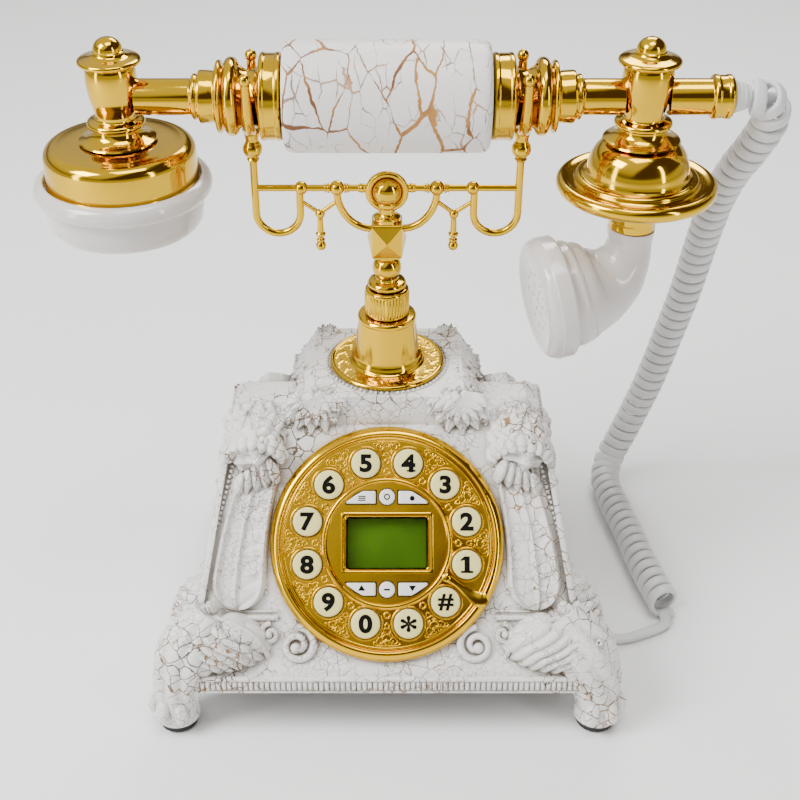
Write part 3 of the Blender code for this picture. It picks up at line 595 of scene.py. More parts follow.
def grip():
    """The thick crackled sleeve that the hand holds: slightly barrelled, with rounded ends."""
    outline = [(7.0, -38.5), (17.2, -38.5)] + arc(18.0, -36.0, 2.5, -80, -8, 7)
    outline += flowing([(20.5, -36.3), (20.75, -30.0), (20.8, 0), (20.75, 30.0), (20.5, 36.3)], 6)
    outline += arc(18.0, 36.0, 2.5, 8, 80, 7) + [(17.2, 38.5), (7.0, 38.5)]
    shape = on_handset(placed(lathe(outline, FINE), turn=AXIS_ALONG_X))
    stand_for("crackle_grip", "handset_grip", shape, "grip", "handset")


def cord_bush():
    """Ribbed sleeve where the cord leaves the handset."""
    outline = rounded_outline([(0, 32.5), (6.2, 32.5), (6.2, 33.4), (5.6, 34.0), (5.6, 35.0), (5.2, 35.4),
                               (5.0, 36.6), (4.4, 37.4), (4.2, 38.7), (0, 39.0)], 0.3)
    shape = on_handset(placed(lathe(outline, 48), turn=AXIS_ALONG_X), MOUTH_X)
    stand_for("bush_ring", "cord_bush", shape, "cord", "handset")


def ear_cup():
    """Gold drum with a white cap: a thick round lip about a dished, perforated face."""
    top, low = POST_FOOT_Z, 184.0
    drum = [(0, top), (12.0, top)] + flowing([(12.0, top), (20.0, top - 0.1), (24.4, top - 0.5)])[1:]
    drum += arc(24.6, top - 5.0, 4.6, 78, 2, 12)
    drum += rounded_outline([(29.2, 209.0), (29.2, 204.4), (29.5, 204.0), (29.5, 202.4), (29.2, 202.0),
                             (27.4, 202.0), (27.2, 213.0), (22.5, 216.8), (0, 216.8)], 0.3)
    shape = placed(lathe(drum, FINE), EAR_X, COLUMN_Y)
    stand_for("ear_drum", "ear_housing", shape, "gold", "handset", METAL_ANGLE)

    face = flowing([(0, low + 2.6), (8.0, low + 2.5), (15.0, low + 2.0), (21.0, low + 0.8), (25.4, low)])
    side = flowing([(25.4, low), (27.6, low + 0.3), (29.2, low + 1.8), (30.2, low + 4.4), (30.6, low + 8.0),
                    (30.5, 196.0), (31.0, 196.9)])[1:]
    lip = arc(30.4, 200.8, 4.1, -72, 82, 20)
    inside = rounded_outline([(30.6, 204.8), (30.2, 204.2), (30.2, 201.6), (26.8, 201.4), (26.6, low + 4.6),
                              (0, low + 4.6)], 0.3)
    shape = placed(lathe(face + side + lip + inside, FINE), EAR_X, COLUMN_Y)
    cap = stand_for("ear_cap_ring", "ear_cap", shape, "ivory", "handset", 34)
    cut(cap, placed(sound_holes(low - 1, low + 7, 1.0), EAR_X, COLUMN_Y))


def sound_holes(low, high, radius):
    """A hole in the middle, six round it and twelve round those."""
    drills = []
    for ring_r, count in ((0, 1), (6.0, 6), (11.5, 12)):
        for a in circle(count):
            drill = lathe([(0, low), (radius, low), (radius, high), (0, high)], 14)
            drills.append(placed(drill, ring_r * math.cos(a), ring_r * math.sin(a)))
    return merged(drills)


# Middle (x, y, height) and radius of the horn, from the saucer down to its mouth
HORN_LINE = ((0.0, 0.0, 182.4, 9.3), (-0.1, 0.0, 180.6, 9.3), (-0.2, -0.1, 176.0, 8.9),
             (-1.4, -0.4, 169.0, 10.4),
             (-5.0, -1.0, 162.5, 13.5), (-11.0, -2.0, 158.0, 17.0), (-17.5, -3.2, 155.9, 20.2))
HORN_MOUTH = Vector((-25.0, -4.7, 154.4))
HORN_MOUTH_R = 21.8


def mouth_axis():
    """Direction that the mouthpiece faces: inwards, a little forwards and down."""
    turn, dip = math.radians(12), math.radians(8)
    return Vector((-math.cos(turn) * math.cos(dip), -math.sin(turn) * math.cos(dip), -math.sin(dip)))


def saucer():
    """Gold dome with a stepped edge and a wide rim, over a ringed neck."""
    top = POST_FOOT_Z
    dome = flowing([(11.0, top), (14.6, top - 1.2), (17.4, top - 4.0), (19.2, top - 8.2), (19.8, 206.8),
                    (20.2, 205.6)], 6)
    steps = flowing([(20.2, 205.6), (21.4, 205.0), (22.8, 204.9), (23.7, 204.3), (23.9, 203.3),
                     (24.6, 202.7)])
    rim = flowing([(24.6, 202.7), (26.6, 202.9), (28.6, 203.4), (30.2, 203.0), (31.1, 201.7), (31.1, 200.0),
                   (30.2, 198.5), (28.2, 197.4), (24.0, 196.2), (17.0, 195.2), (11.6, 194.5)], 5)
    neck = rounded_outline([
        (10.6, 194.0), (10.0, 193.0), (9.8, 190.8), (10.3, 190.4), (10.3, 189.2), (9.8, 188.8), (9.6, 186.4),
        (9.2, 185.6), (9.2, 182.8), (6.6, 182.6), (6.6, 193.4), (22.0, 197.9), (22.0, 200.6), (17.4, 205.0),
        (16.8, 210.4), (13.8, 214.6), (9.0, 217.0), (0, 217.0)], 0.3)
    disc = lathe([(0, top)] + dome + steps[1:] + rim[1:] + neck, FINE)
    stand_for("mouth_saucer", "mouth_disc", placed(disc, MOUTH_X, COLUMN_Y), "gold", "handset", 36)


def horn():
    """White trumpet that bends from the saucer's neck to the mouth cap, with a seam near its wide end."""
    line = [Vector(point) for point in HORN_LINE]
    for ahead in (-3.5, 1.2):
        line.append(Vector((*(HORN_MOUTH + mouth_axis() * ahead), HORN_MOUTH_R)))
    path = smooth_points(line, 12)
    radii = [point[3] for point in path]
    seam = len(path) - 22
    radii[seam] -= 0.35
    shape = placed(tube([point.xyz for point in path], radii, 72), MOUTH_X, COLUMN_Y)
    stand_for("curved_horn", "mouth_horn", shape, "ivory", "handset", 50)


def mouth_cap():
    """White ringed cap with a dished, perforated face."""
    outline = [(0, 6.0), (21.6, 6.0), (21.6, 0.4), (22.0, 0), (24.2, 0)]
    outline += rounded_outline([(24.2, 0), (25.0, 0.8), (25.1, 6.6), (24.7, 7.0), (24.6, 7.6)], 0.4)[1:]
    outline += flowing([(24.6, 7.6), (23.6, 9.7), (21.2, 11.1), (18.6, 11.2), (15.0, 10.4), (9.0, 9.8),
                        (0, 9.6)], 5)
    back = HORN_MOUTH + mouth_axis() * 1.5
    aim = mouth_axis().to_track_quat("Z", "Y").to_matrix()
    place = Matrix.Translation(Vector((MOUTH_X, COLUMN_Y, 0)) + back) @ aim.to_4x4()
    cap = stand_for("mouth_cap_ring", "mouth_cap", lathe(outline, FINE), "ivory", "handset", 36, place)
    cut(cap, sound_holes(5, 13, 0.7), place)


# ---------------------------------------------------------------- column and cradle

BAR_Z = 199.0                # the cradle's cross bar
BALL_Z = 198.0               # the ring and ball in its middle
WIRE_R = 1.5
RIDGES = 40                  # ridges round the nut
RIDGE_Z = (144.9, 153.8)


def column():
    """Gold bell on a wide flange, with a lip at its neck."""
    low = BLOCK_TOP_Z + 0.3
    bell = rounded_outline([(4.6, low), (23.6, low), (24.1, low + 0.5), (24.1, low + 1.1), (23.6, low + 1.7),
                            (22.9, low + 1.9), (22.4, low + 1.5), (15.8, low + 1.6)], 0.25)
    bell += flowing([(15.6, low + 1.8), (14.9, low + 2.4), (14.3, low + 4.0), (13.9, low + 5.0),
                     (13.4, 127.5),
                     (12.6, 134.0), (11.9, 141.0)])
    bell += rounded_outline([(11.9, 141.0), (12.2, 141.5), (12.1, 142.6), (11.4, 143.4),
                             (4.6, 143.5)], 0.3)[1:]
    stand_for("bell_collar", "column_bell", placed(lathe(bell, FINE), 0, COLUMN_Y), "gold", "base", 30)
    detail("flange_relief", placed(flange_relief(low + 1.3), 0, COLUMN_Y), "relief_gold", smooth_angle=80)


def nut():
    """Round nut with rounded upright ridges."""
    def ridges(a, radius, height):
        if radius < 8 or not RIDGE_Z[0] < height < RIDGE_Z[1]:
            return 0.0
        return 0.42 * abs(math.cos(RIDGES * a / 2)) ** 1.5 - 0.2

    outline = rounded_outline([(4.6, 143.8), (8.7, 143.8), (9.1, 144.3), (9.0, 144.8)], 0.2)
    outline += [(8.95, 145.0), (8.95, 153.7)]
    outline += rounded_outline([(8.8, 154.0), (9.0, 154.5), (8.7, 155.1), (7.9, 155.5), (4.6, 155.5)], 0.2)
    shape = placed(lathe(outline, RIDGES * 8, ridges), 0, COLUMN_Y)
    stand_for("ridged_nut", "column_nut", shape, "gold", "base", 50)


def stem():
    """Rod from the hook switch up through the nut, with a bead and the faceted block."""
    outline = rounded_outline([
        (0, 68.6), (3.5, 68.6), (3.5, 84.0), (8.0, 84.0), (8.0, 86.5), (4.0, 86.6), (4.0, 156.0),
        (7.4, 156.1),
        (7.9, 156.9), (7.9, 157.8), (7.2, 158.8), (5.2, 159.1), (4.6, 159.5), (4.4, 160.4)], 0.25)
    outline += arc(0.3, 164.4, 5.6, -50, 50, 16)
    outline += rounded_outline([(4.0, 168.9), (4.3, 169.2), (4.3, 169.9), (3.8, 170.4), (0, 170.6)], 0.25)
    shape = merged([placed(lathe(outline, 64), 0, COLUMN_Y), placed(faceted_block(), 0, COLUMN_Y)])
    stand_for("stem_and_block", "cradle_stem", shape, "gold", "cradle", 12)


def faceted_block():
    """Square block with a low pyramid on each side and a thin square plinth at each end."""
    shape = bmesh.new()
    half, apex, low, high = 5.9, 7.8, 171.4, 184.6
    corners = [(half, -half), (half, half), (-half, half), (-half, -half)]
    rings = [[shape.verts.new((x, y, z)) for x, y in corners] for z in (low, high)]
    points = ((apex, 0), (0, apex), (-apex, 0), (0, -apex))
    peaks = [shape.verts.new((x, y, (low + high) / 2)) for x, y in points]
    for i in range(4):
        j = (i + 1) % 4
        edge = [rings[0][i], rings[0][j], rings[1][j], rings[1][i]]
        for k in range(4):
            shape.faces.new((edge[k], edge[(k + 1) % 4], peaks[i]))
    shape.faces.new(rings[0][::-1])
    shape.faces.new(rings[1])
    plinths = []
    for z in (low - 1.0, high):
        plinth = bmesh.new()
        bmesh.ops.create_cube(plinth, size=1)
        bmesh.ops.scale(plinth, vec=(2 * half - 0.8, 2 * half - 0.8, 1.0), verts=plinth.verts)
        bmesh.ops.translate(plinth, vec=(0, 0, z + 0.5), verts=plinth.verts)
        bmesh.ops.bevel(plinth, geom=plinth.edges[:], offset=0.25, segments=2, affect="EDGES")
        plinths.append(plinth)
    return merged([shape] + plinths)


def flange_relief(z):
    """Ring of cast foliage: waves of scrolls and beads round the flange."""
    shape = bmesh.new()
    segments, steps, low_r, high_r = 360, 14, 15.9, 22.4
    rings = []
    for k in range(steps + 1):
        t = k / steps
        r = low_r + (high_r - low_r) * t
        ring = []
        for a in circle(segments):
            swirl = math.sin(18 * a + 5.5 * math.sin(math.pi * t)) * math.sin(math.pi * t)
            curl = math.sin(54 * a - 9 * t) * math.sin(2 * math.pi * t) * 0.5
            lift = 0.30 + 0.26 * swirl + 0.22 * curl
            lift = 0.05 + 0.6 * max(0.0, lift) if 0 < k < steps else 0.0
            ring.append(shape.verts.new((r * math.cos(a), r * math.sin(a), z + lift)))
        rings.append(ring)
    for lower, upper in zip(rings, rings[1:]):
        bridge(shape, lower, upper)
    bottom = [[shape.verts.new((v.co.x, v.co.y, z - 0.5)) for v in ring] for ring in (rings[0], rings[-1])]
    for lower, upper in ((bottom[0], rings[0]), (rings[-1], bottom[1]), (bottom[1], bottom[0])):
        bridge(shape, lower, upper)
    return shape


def bead_and_collars(x, radius, collars):
    """A bead on the cradle's bar with small turned collars (distance, radius) on both sides."""
    shapes = [ball((x, 0, BAR_Z), radius, 28, 18)]
    for away, collar_r in collars:
        for side in SIDES:
            section = [(0, -0.45), (collar_r, -0.45), (collar_r, 0.45), (0, 0.45)]
            ring = lathe(rounded_outline(section, 0.25), 28)
            shapes.append(placed(ring, x + side * away, 0, BAR_Z, AXIS_ALONG_X))
    return shapes


def ring_and_ball():
    """The cross bar, the ring and ball in its middle, and the turned foot below them."""
    ring = lathe(arc(7.2, 0, 1.35, 0, 360, 20)[:-1], 72)
    disc = lathe([(0, -1.4), (6.9, -1.4), (6.9, 1.4), (0, 1.4)], 48)
    foot = rounded_outline([(0, 185.4), (5.4, 185.4), (5.4, 187.2), (4.0, 188.0), (3.4, 188.8), (3.4, 191.0),
                            (4.2, 191.8), (4.2, 193.4), (0, 194.0)], 0.3)
    return [tube([(x, 0, BAR_Z) for x in (-FORK_X, -20, 20, FORK_X)], 1.3, 20),
            placed(ring, 0, -1.2, BALL_Z, AXIS_ALONG_Y), placed(disc, 0, 0.4, BALL_Z, AXIS_ALONG_Y),
            lump((0, -0.6, BALL_Z), (5.9, 5.6, 5.9), 48, 30), lathe(foot, 48)]


def side_scrolls(side):
    """One side of the cradle: beads, a hoop under the fork, an arc to the block, a pendant on stays."""
    shapes = []
    shapes += bead_and_collars(side * 19.5, 3.0, ((3.3, 2.0), (4.4, 1.75)))
    shapes += bead_and_collars(side * 33.5, 2.7, ())
    shapes += bead_and_collars(side * 9.6, 1.9, ((1.2, 1.7),))
    hoop = [(side * FORK_X, 0, z) for z in (211.0, 200.0, 190.0)]
    hoop += [(side * (42.8 + 8.7 * math.cos(a)), 0, 188.3 - 8.7 * math.sin(a))
             for a in (math.pi * i / 24 for i in range(25))]
    hoop += [(side * 34.1, 0, 192.0), (side * 34.1, 0, BAR_Z)]
    shapes.append(tube(hoop, WIRE_R, 20))
    arm = [(side * (19.5 - 13.6 * (1 - math.cos(a))), 0, 197.4 - 15.8 * math.sin(a))
           for a in (math.pi / 32 * i for i in range(17))]
    shapes.append(tube(arm, WIRE_R, 20))
    drop_x = side * 26.4
    for reach in (20.2, 33.0):
        shapes.append(tube([(side * reach, 0, 192.9), (drop_x, 0, 188.2)], 0.85, 14))
    drop = flowing([(0, 172.2), (1.5, 172.7), (2.1, 174.2), (1.5, 175.7)], 3)
    drop += [(0.95, 176.0), (1.7, 176.4), (1.7, 177.0), (0.95, 177.4), (0.95, 178.0), (2.0, 178.8),
             (2.0, 179.6),
             (1.3, 180.2), (1.15, 185.6)]
    drop += arc(0, 188.0, 2.0, -60, 90, 8)
    shapes.append(placed(lathe(rounded_outline(drop, 0.15), 24), drop_x))
    return shapes


def cradle():
    """Scrolled wire frame under the handset and the two forks that carry it."""
    shapes = ring_and_ball() + side_scrolls(-1) + side_scrolls(1)
    stand_for("scroll_wires", "cradle_frame", placed(merged(shapes), 0, COLUMN_Y), "gold", "cradle", 45)
    for name, side in (("left", -1), ("right", 1)):
        shape = placed(fork(), side * FORK_X, COLUMN_Y)
        stand_for(f"{name}_fork", f"cradle_fork_{name}", shape, "gold", "cradle", 45)


def fork():
    """Two upright prongs before and behind the handset's neck, out of one ball."""
    reach, shoulder_z, tip_z = 12.4, 242.0, 246.6
    path = [(0, -reach - 1.2, tip_z), (0, -reach - 0.7, shoulder_z)]
    path += [(0, reach * math.sin(a), HANDSET_Z - reach * math.cos(a))
             for a in (math.radians(-90 + 6 * i) for i in range(31))]
    path += [(0, reach + 0.7, shoulder_z), (0, reach + 1.2, tip_z)]
    last = len(path) - 1
    radii = [1.7 + 0.75 * math.sin(math.pi * i / last) ** 0.7 for i in range(last + 1)]
    shapes = [tube(path, radii, 22)]
    for side in SIDES:
        shapes.append(lump((0, side * (reach + 1.2), tip_z + 0.4), (2.3, 2.3, 2.5), 28, 18))
    stalk = [(0, 210.4), (2.1, 210.4), (2.4, 211.2), (2.0, 211.8)] + arc(0, 215.2, 3.8, -60, 40, 12)
    stalk += flowing([(2.9, 217.8), (2.5, 219.0), (3.0, 221.2), (3.6, 223.2)]) + [(0, 223.8)]
    shapes.append(lathe(stalk, 32))
    return merged(shapes)


# ---------------------------------------------------------------- dial

KEY_CIRCLE_R = 33.3
KEY_R = 5.9
BUTTON_Y = 18.6              # the round function keys, above and below the middle
PLATE_Z = -1.35              # the plate's plain surface, below the dial's front plane
HOLE_Z = (-7, 3)             # the holes are cut from behind the plate to before it
FINGER_STOP_TURN = -30       # degrees, where the blade crosses the dial's rim
PRINT_HALF = 0.14            # half the thickness of a printed numeral
SIGN_THICK = 0.1


def on_circle(radius, degrees):
    a = math.radians(degrees)
    return radius * math.cos(a), radius * math.sin(a)


def key_places():
    """(node, label, x, y) of the twelve dialling keys, counted anticlockwise from the lower right."""
    names = {"#": "hash", "*": "star"}
    return [(f"key_{names.get(label, label)}", label, *on_circle(KEY_CIRCLE_R, -45 + 30 * i))
            for i, label in enumerate("#1234567890*")]


def disc(radius, low, high, segments=28):
    return lathe([(0, low), (radius, low), (radius, high), (0, high)], segments)


def wedge_outline(x_sign, y_sign, grow):
    """Side function key: square towards the middle, cut back along the inner ring."""
    inner, outer, low, high = 4.6 - grow, 16.4 + grow, 15.9 - grow, 21.0 + grow
    points = [(inner, low), (outer, low), (outer, low + 0.8), (12.6 + grow, high - 1.6), (9.8, high),
              (inner, high)]
    ring = rounded_outline([(x_sign * x, y_sign * y) for x, y in points], 0.5, 3, closed=True)
    return ring if x_sign * y_sign > 0 else ring[::-1]


def dial_plate():
    """Gold plate: thick rounded rim, plain field with an inner ring, holes for the keys and the window."""
    outline = [(0, -4.7), (41.2, -4.7), (41.2, -9.0), (42.7, -9.0), (42.7, -4.7), (46.8, -4.7)]
    outline += rounded_outline([(46.8, -4.7), (47.5, -4.2), (47.5, -2.7), (47.0, -1.7),
                                (46.2, -0.9)], 0.3)[1:]
    outline += flowing([(46.2, -0.9), (45.4, -0.35), (44.6, -0.05), (43.9, -0.05), (43.4, -0.5),
                        (43.1, -1.15)])[1:]
    outline += rounded_outline([(43.0, -1.25), (42.6, -1.2), (42.4, -1.0), (41.9, -1.0), (41.6, -1.25)], 0.15)
    outline += [(36.0, PLATE_Z), (30.0, PLATE_Z), (27.2, -1.3)]
    outline += rounded_outline([(26.9, -1.3), (26.6, -0.8), (25.9, -0.35), (25.1, -0.35), (24.6, -0.8),
                                (24.3, -1.3)], 0.25)
    outline += [(12.0, PLATE_Z), (0, PLATE_Z)]
    plate = stand_for("gold_dial", "dial_plate", lathe(outline, 192), "dial_gold", "base", 28, DIAL_FRAME)
    holes = [placed(disc(6.45, *HOLE_Z, 64), x, y) for _, _, x, y in key_places()]
    for y_sign in SIDES:
        holes.append(placed(disc(3.65, *HOLE_Z, 48), 0, BUTTON_Y * y_sign))
        for x_sign in SIDES:
            holes.append(prism(wedge_outline(x_sign, y_sign, 0.5), *HOLE_Z))
    holes.append(prism(rounded_box(16.7, 10.75, 1.0, 4), *HOLE_Z))
    cut(plate, merged(holes), DIAL_FRAME)
    plate.data.shade_smooth()
    plate.data.set_sharp_from_angle(angle=math.radians(28))


def dial_details():
    """Display frame, rings, scroll motifs and the rims round the key holes."""
    shapes = []
    for half_w, half_h, low, high, wide in ((18.6, 12.3, -1.5, -0.5, 1.1), (17.2, 11.2, -1.9, -1.0, 0.7)):
        outer = rounded_box(half_w, half_h, 1.4, 5)
        inner = [(x * (half_w - wide) / half_w, y * (half_h - wide) / half_h) for x, y in outer]
        crest = [((a[0] + b[0]) / 2, (a[1] + b[1]) / 2) for a, b in zip(outer, inner)]
        shapes.append(frame_ring([(outer, low), (outer, high - 0.25), (crest, high), (inner, high - 0.25),
                                  (inner, low)]))
    for _, _, x, y in key_places():
        shapes.append(placed(lathe(arc(6.75, PLATE_Z, 0.42, -10, 190, 8), 48), x, y))
    for i in range(12):
        turn = 30 * i - 30
        shapes.append(placed(lathe(arc(1.15, -1.25, 0.42, 0, 360, 12)[:-1], 28), *on_circle(28.9, turn)))
        if turn != FINGER_STOP_TURN:
            shapes += scroll_motif(turn)
    detail("dial_relief", merged(shapes), "dial_gold", "base", 60, DIAL_FRAME)


def frame_ring(levels):
    """A closed moulding round an opening, through matching outlines at given heights."""
    shape = bmesh.new()
    rings = [[shape.verts.new((x, y, z)) for x, y in outline] for outline, z in levels]
    for lower, upper in zip(rings, rings[1:] + rings[:1]):
        bridge(shape, lower, upper)
    return shape


def scroll_motif(turn):
    """Triangle of interlaced scrollwork between two keys, its broad side at the rim."""
    radial, sideways = on_circle(1, turn), on_circle(1, turn + 90)
    knot = [(31.9, 0), (33.2, 0.9), (34.2, 0.2), (34.0, -0.8), (35.2, -1.5), (36.4, -0.6), (36.6, 0.8),
            (37.8, 1.9), (39.0, 1.0), (39.2, -0.6), (40.2, -1.0)]
    edge = [(35.4, 0.4), (36.0, 1.7), (37.4, 2.4), (38.0, 3.4), (39.3, 4.2), (40.4, 3.3), (39.8, 2.3),
            (38.9, 2.6)]
    curl = [(38.4, 0.2), (39.6, 1.6), (40.9, 1.8), (41.0, 0.6), (40.2, 0.5)]
    foot = [(41.0, 0.2), (41.1, 2.2), (40.9, 4.4), (40.2, 5.3), (39.4, 4.9)]

    def place(out, across):
        return (radial[0] * out + sideways[0] * across, radial[1] * out + sideways[1] * across, -1.25)

    return [tube(smooth_points([place(out, side * across) for out, across in line], 4), 0.3, 8)
            for side in SIDES for line in (knot, edge, curl, foot)]


def key_caps():
    """Domed round keys, and the flat-topped function keys above and below the display."""
    for name, _, x, y in key_places():
        cap = [(0, -6.0), (KEY_R + 1.1, -6.0), (KEY_R + 1.1, -5.1), (KEY_R, -5.0), (KEY_R, 0.1)]
        cap += flowing([(KEY_R, 0.1), (5.7, 0.65), (5.2, 0.95), (4.0, 1.15), (2.0, 1.27), (0, 1.3)])[1:]
        stand_for(f"{name}_cap", name, placed(lathe(cap, 64), x, y), "key", f"{name}_body", 40, DIAL_FRAME)
    for row, y_sign in (("top", 1), ("bottom", -1)):
        button = [(0, -6.0), (4.1, -6.0), (4.1, -5.1), (3.2, -5.0), (3.2, 0.0)]
        button += flowing([(3.2, 0.0), (3.0, 0.45), (2.5, 0.7), (1.2, 0.8), (0, 0.82)])[1:]
        caps = [("middle", placed(lathe(button, 48), 0, BUTTON_Y * y_sign))]
        for side, x_sign in (("left", -1), ("right", 1)):
            outline = wedge_outline(x_sign, y_sign, 0.0)
            x0, y0 = x_sign * 10.2, y_sign * 18.2
            levels = ((-5.8, 1.0), (0.0, 1.0), (0.45, 0.975), (0.7, 0.92), (0.8, 0.8))
            caps.append((side, skin([[Vector((x0 + (x - x0) * share, y0 + (y - y0) * share, z))
                                      for x, y in outline] for z, share in levels])))
        for place, shape in caps:
            name = f"key_{row}_{place}"
            stand_for(f"{name}_cap", name, shape, "function_key", f"{name}_body", 40, DIAL_FRAME)


def numeral_shape(label):
    """The numeral as a thin raised print, made heavier by an offset outline, its middle at the origin."""
    size, weight = (8.8, 0.026) if label == "#" else (9.4, 0.042)
    text = bpy.data.curves.new("numeral", "FONT")
    text.body = label
    text.size = size
    text.offset = weight * size
    text.extrude = PRINT_HALF
    text.resolution_u = 6
    text.align_x = "CENTER"
    holder = bpy.data.objects.new("numeral", text)
    bpy.context.scene.collection.objects.link(holder)
    bpy.context.view_layer.update()
    shape = bmesh.new()
    solid = bpy.data.meshes.new_from_object(holder.evaluated_get(bpy.context.evaluated_depsgraph_get()))
    shape.from_mesh(solid)
    bpy.data.meshes.remove(solid)
    bpy.data.objects.remove(holder)
    xs = [v.co.x for v in shape.verts]
    ys = [v.co.y for v in shape.verts]
    return placed(shape, -(min(xs) + max(xs)) / 2, -(min(ys) + max(ys)) / 2)


def bars(boxes):
    """Flat print made of upright bars, each (x low, x high, y low, y high)."""
    return merged([prism([(a, c), (b, c), (b, d), (a, d)], -PRINT_HALF, PRINT_HALF) for a, b, c, d in boxes])


def serif_one():
    """A heavy 1 with a flag and a wide foot."""
    upright = bars([(-0.95, 0.95, -3.3, 3.3), (-2.2, 2.2, -3.3, -2.5)])
    flag = prism([(-0.9, 3.3), (-2.3, 2.0), (-2.3, 1.4), (-0.9, 1.9)], -PRINT_HALF, PRINT_HALF)
    return merged([upright, flag])


def six_petal_star():
    """A heavy asterisk of six drop-shaped petals, each a hair thicker than the last."""
    drop = [(0.1, -0.25), (1.6, -0.55), (2.6, -0.75), (3.1, -0.5), (3.25, 0), (3.1, 0.5), (2.6, 0.75),
            (1.6, 0.55), (0.1, 0.25)]
    petals = []
    for i in range(6):
        a = math.radians(90 + 60 * i)
        turned = [(x * math.cos(a) - y * math.sin(a), x * math.sin(a) + y * math.cos(a)) for x, y in drop]
        half = PRINT_HALF + 0.002 * i
        petals.append(prism(turned, -half, half))
    return merged(petals)


def numerals():
    """Black prints that stand on the domes of the dialling keys."""
    for name, label, x, y in key_places():
        if label == "1":
            shape = serif_one()
        elif label == "*":
            shape = six_petal_star()
        else:
            shape = numeral_shape(label)
        if label == "4":
            shape = merged([shape, bars([(-0.6, 2.6, -3.35, -2.75)])])
        bmesh.ops.scale(shape, vec=(1.12, 1.0, 1.0), verts=shape.verts)
        detail(f"{name}_print", placed(shape, x, y, 1.24), "ink", f"{name}_body", 30, DIAL_FRAME)


def function_marks():
    """Plain signs on the small keys: arrows up and down, a bar, a ring, three lines and a dot."""
    def arrow(direction):
        outline = [(-1.5, -direction * 1.0), (1.5, -direction * 1.0), (0, direction * 1.3)]
        return prism(outline[::direction], 0, SIGN_THICK)

    def bar(half_w, half_h):
        corners = [(-half_w, -half_h), (half_w, -half_h), (half_w, half_h), (-half_w, half_h)]
        return prism(corners, 0, SIGN_THICK)

    side_x, side_y = 10.2, 18.0
    ring = lathe([(0.75, 0), (1.25, 0), (1.25, SIGN_THICK), (0.75, SIGN_THICK)], 28)
    lines = merged([placed(bar(1.5, 0.22), 0, y) for y in (-0.8, 0, 0.8)])
    signs = (("bottom_left", arrow(1), -side_x, -side_y), ("bottom_right", arrow(-1), side_x, -side_y),
             ("bottom_middle", bar(1.2, 0.35), 0, -BUTTON_Y), ("top_middle", ring, 0, BUTTON_Y),
             ("top_left", lines, -side_x, side_y), ("top_right", disc(1.0, 0, SIGN_THICK), side_x, side_y))
    for key, shape, x, y in signs:
        detail(f"key_{key}_sign", placed(shape, x, y, 0.78), "ink", f"key_{key}_body", 30, DIAL_FRAME)


def finger_stop():
    """Hooked blade over the rim at the lower right, held by one screw on a small boss."""
    # (distance from the dial's middle, sideways, half width) along the blade
    line = [(27.4, 0.0, 1.9), (29.6, 0.0, 1.5), (33.0, -0.3, 1.3), (37.0, -0.9, 1.8), (41.0, -1.3, 2.6),
            (44.0, -0.6, 3.4), (45.6, 1.0, 2.2)]
    section = ((-1, 0.35), (-0.9, 0.85), (-0.5, 1.25), (0, 1.4), (0.5, 1.25), (0.9, 0.85), (1, 0.35))
    path = smooth_points(line, 5)
    rings = []
    for i, point in enumerate(path):
        ahead = (path[min(i + 1, len(path) - 1)] - path[max(i - 1, 0)]).xy.normalized()
        across = Vector((-ahead.y, ahead.x)) * point.z
        rings.append([Vector((*(point.xy + across * share), height)) for share, height in section])
    screw = lathe([(0, -1.2), (1.9, -1.2), (1.9, 0.4), (1.75, 1.2), (1.2, 1.6), (0, 1.7)], 32)
    shape = placed(merged([skin(rings), placed(screw, 27.6, 0)]), turn=turn_about("Z", FINGER_STOP_TURN))
    stand_for("stop_blade", "finger_stop", shape, "gold", "base", 40, DIAL_FRAME)


def display_mask():
    """Black border round the green panel, behind the window."""
    back, front = -6.45, -6.3
    border, inner = rounded_box(17.9, 11.9, 1.0, 3), rounded_box(16.0, 10.0, 0.6, 3)
    mask = frame_ring([(border, back), (border, front), (inner, front), (inner, back)])
    detail("display_mask", mask, "ink", "base", 30, DIAL_FRAME)


# ---------------------------------------------------------------- cast ornament of the base

FACE_DEPTH = 5.0             # the base's slope lies this far behind the dial's front plane
FACE_ORIGIN = DIAL_CENTRE - DIAL_NORMAL * FACE_DEPTH
BLOCK_FRONT_Y = -16.5        # the block's front at the height of the shoulder
SHOULDER_Z = 104.0
BODY_HALF_W = 80.0
BODY_HALF_D = 85.0
BAR_CORNER = 5.0
SHELL_BAND = 4.2             # from one scalloped band of a shell to the next


def slope(facing, lift=0.0):
    """Places (across, up the slope, height) on the front slope, facing -1, or on the back one, facing 1."""
    def place(x, s, h):
        spot = FACE_ORIGIN + Vector((x, 0, 0)) + DIAL_UP * s + DIAL_NORMAL * (h + lift)
        return Vector((spot.x, -facing * spot.y, spot.z))
    return place


def flank(side):
    """Places (front to back, height above the table, height off the face) on a side of the base."""
    def place(y, z, h):
        return Vector((side * (78.5 - 0.2 * (z - 34.5) + h), y, z))
    return place


def block_front(x, z, h):
    return Vector((x, BLOCK_FRONT_Y - h + 0.065 * (z - SHOULDER_Z), z))


def block_side(side):
    def place(y, z, h):
        return Vector((side * (40.5 - 0.58 * (z - SHOULDER_Z) + h), y, z))
    return place


def block_top(x, y, h):
    return Vector((x, y, BLOCK_TOP_Z + h))


def relief(path, half_width, height, place, rows=60, columns=24, sunk=1.2):
    """A raised strip along a flat curve: half_width(along), height(along, across), set on a face by place."""
    line = even_points(smooth_points(path, 8), rows + 1)
    rings = []
    for i, centre in enumerate(line):
        t = i / rows
        ahead = direction(line, i)
        across = Vector((-ahead.y, ahead.x)) * half_width(t)
        ring = []
        for k in range(columns + 1):
            v = 2 * k / columns - 1
            ring.append(place(*(centre + across * v), height(t, v)))
        ring += [place(*(centre + across * v), -sunk) for v in (1, -1)]
        rings.append(ring)
    return skin(rings)


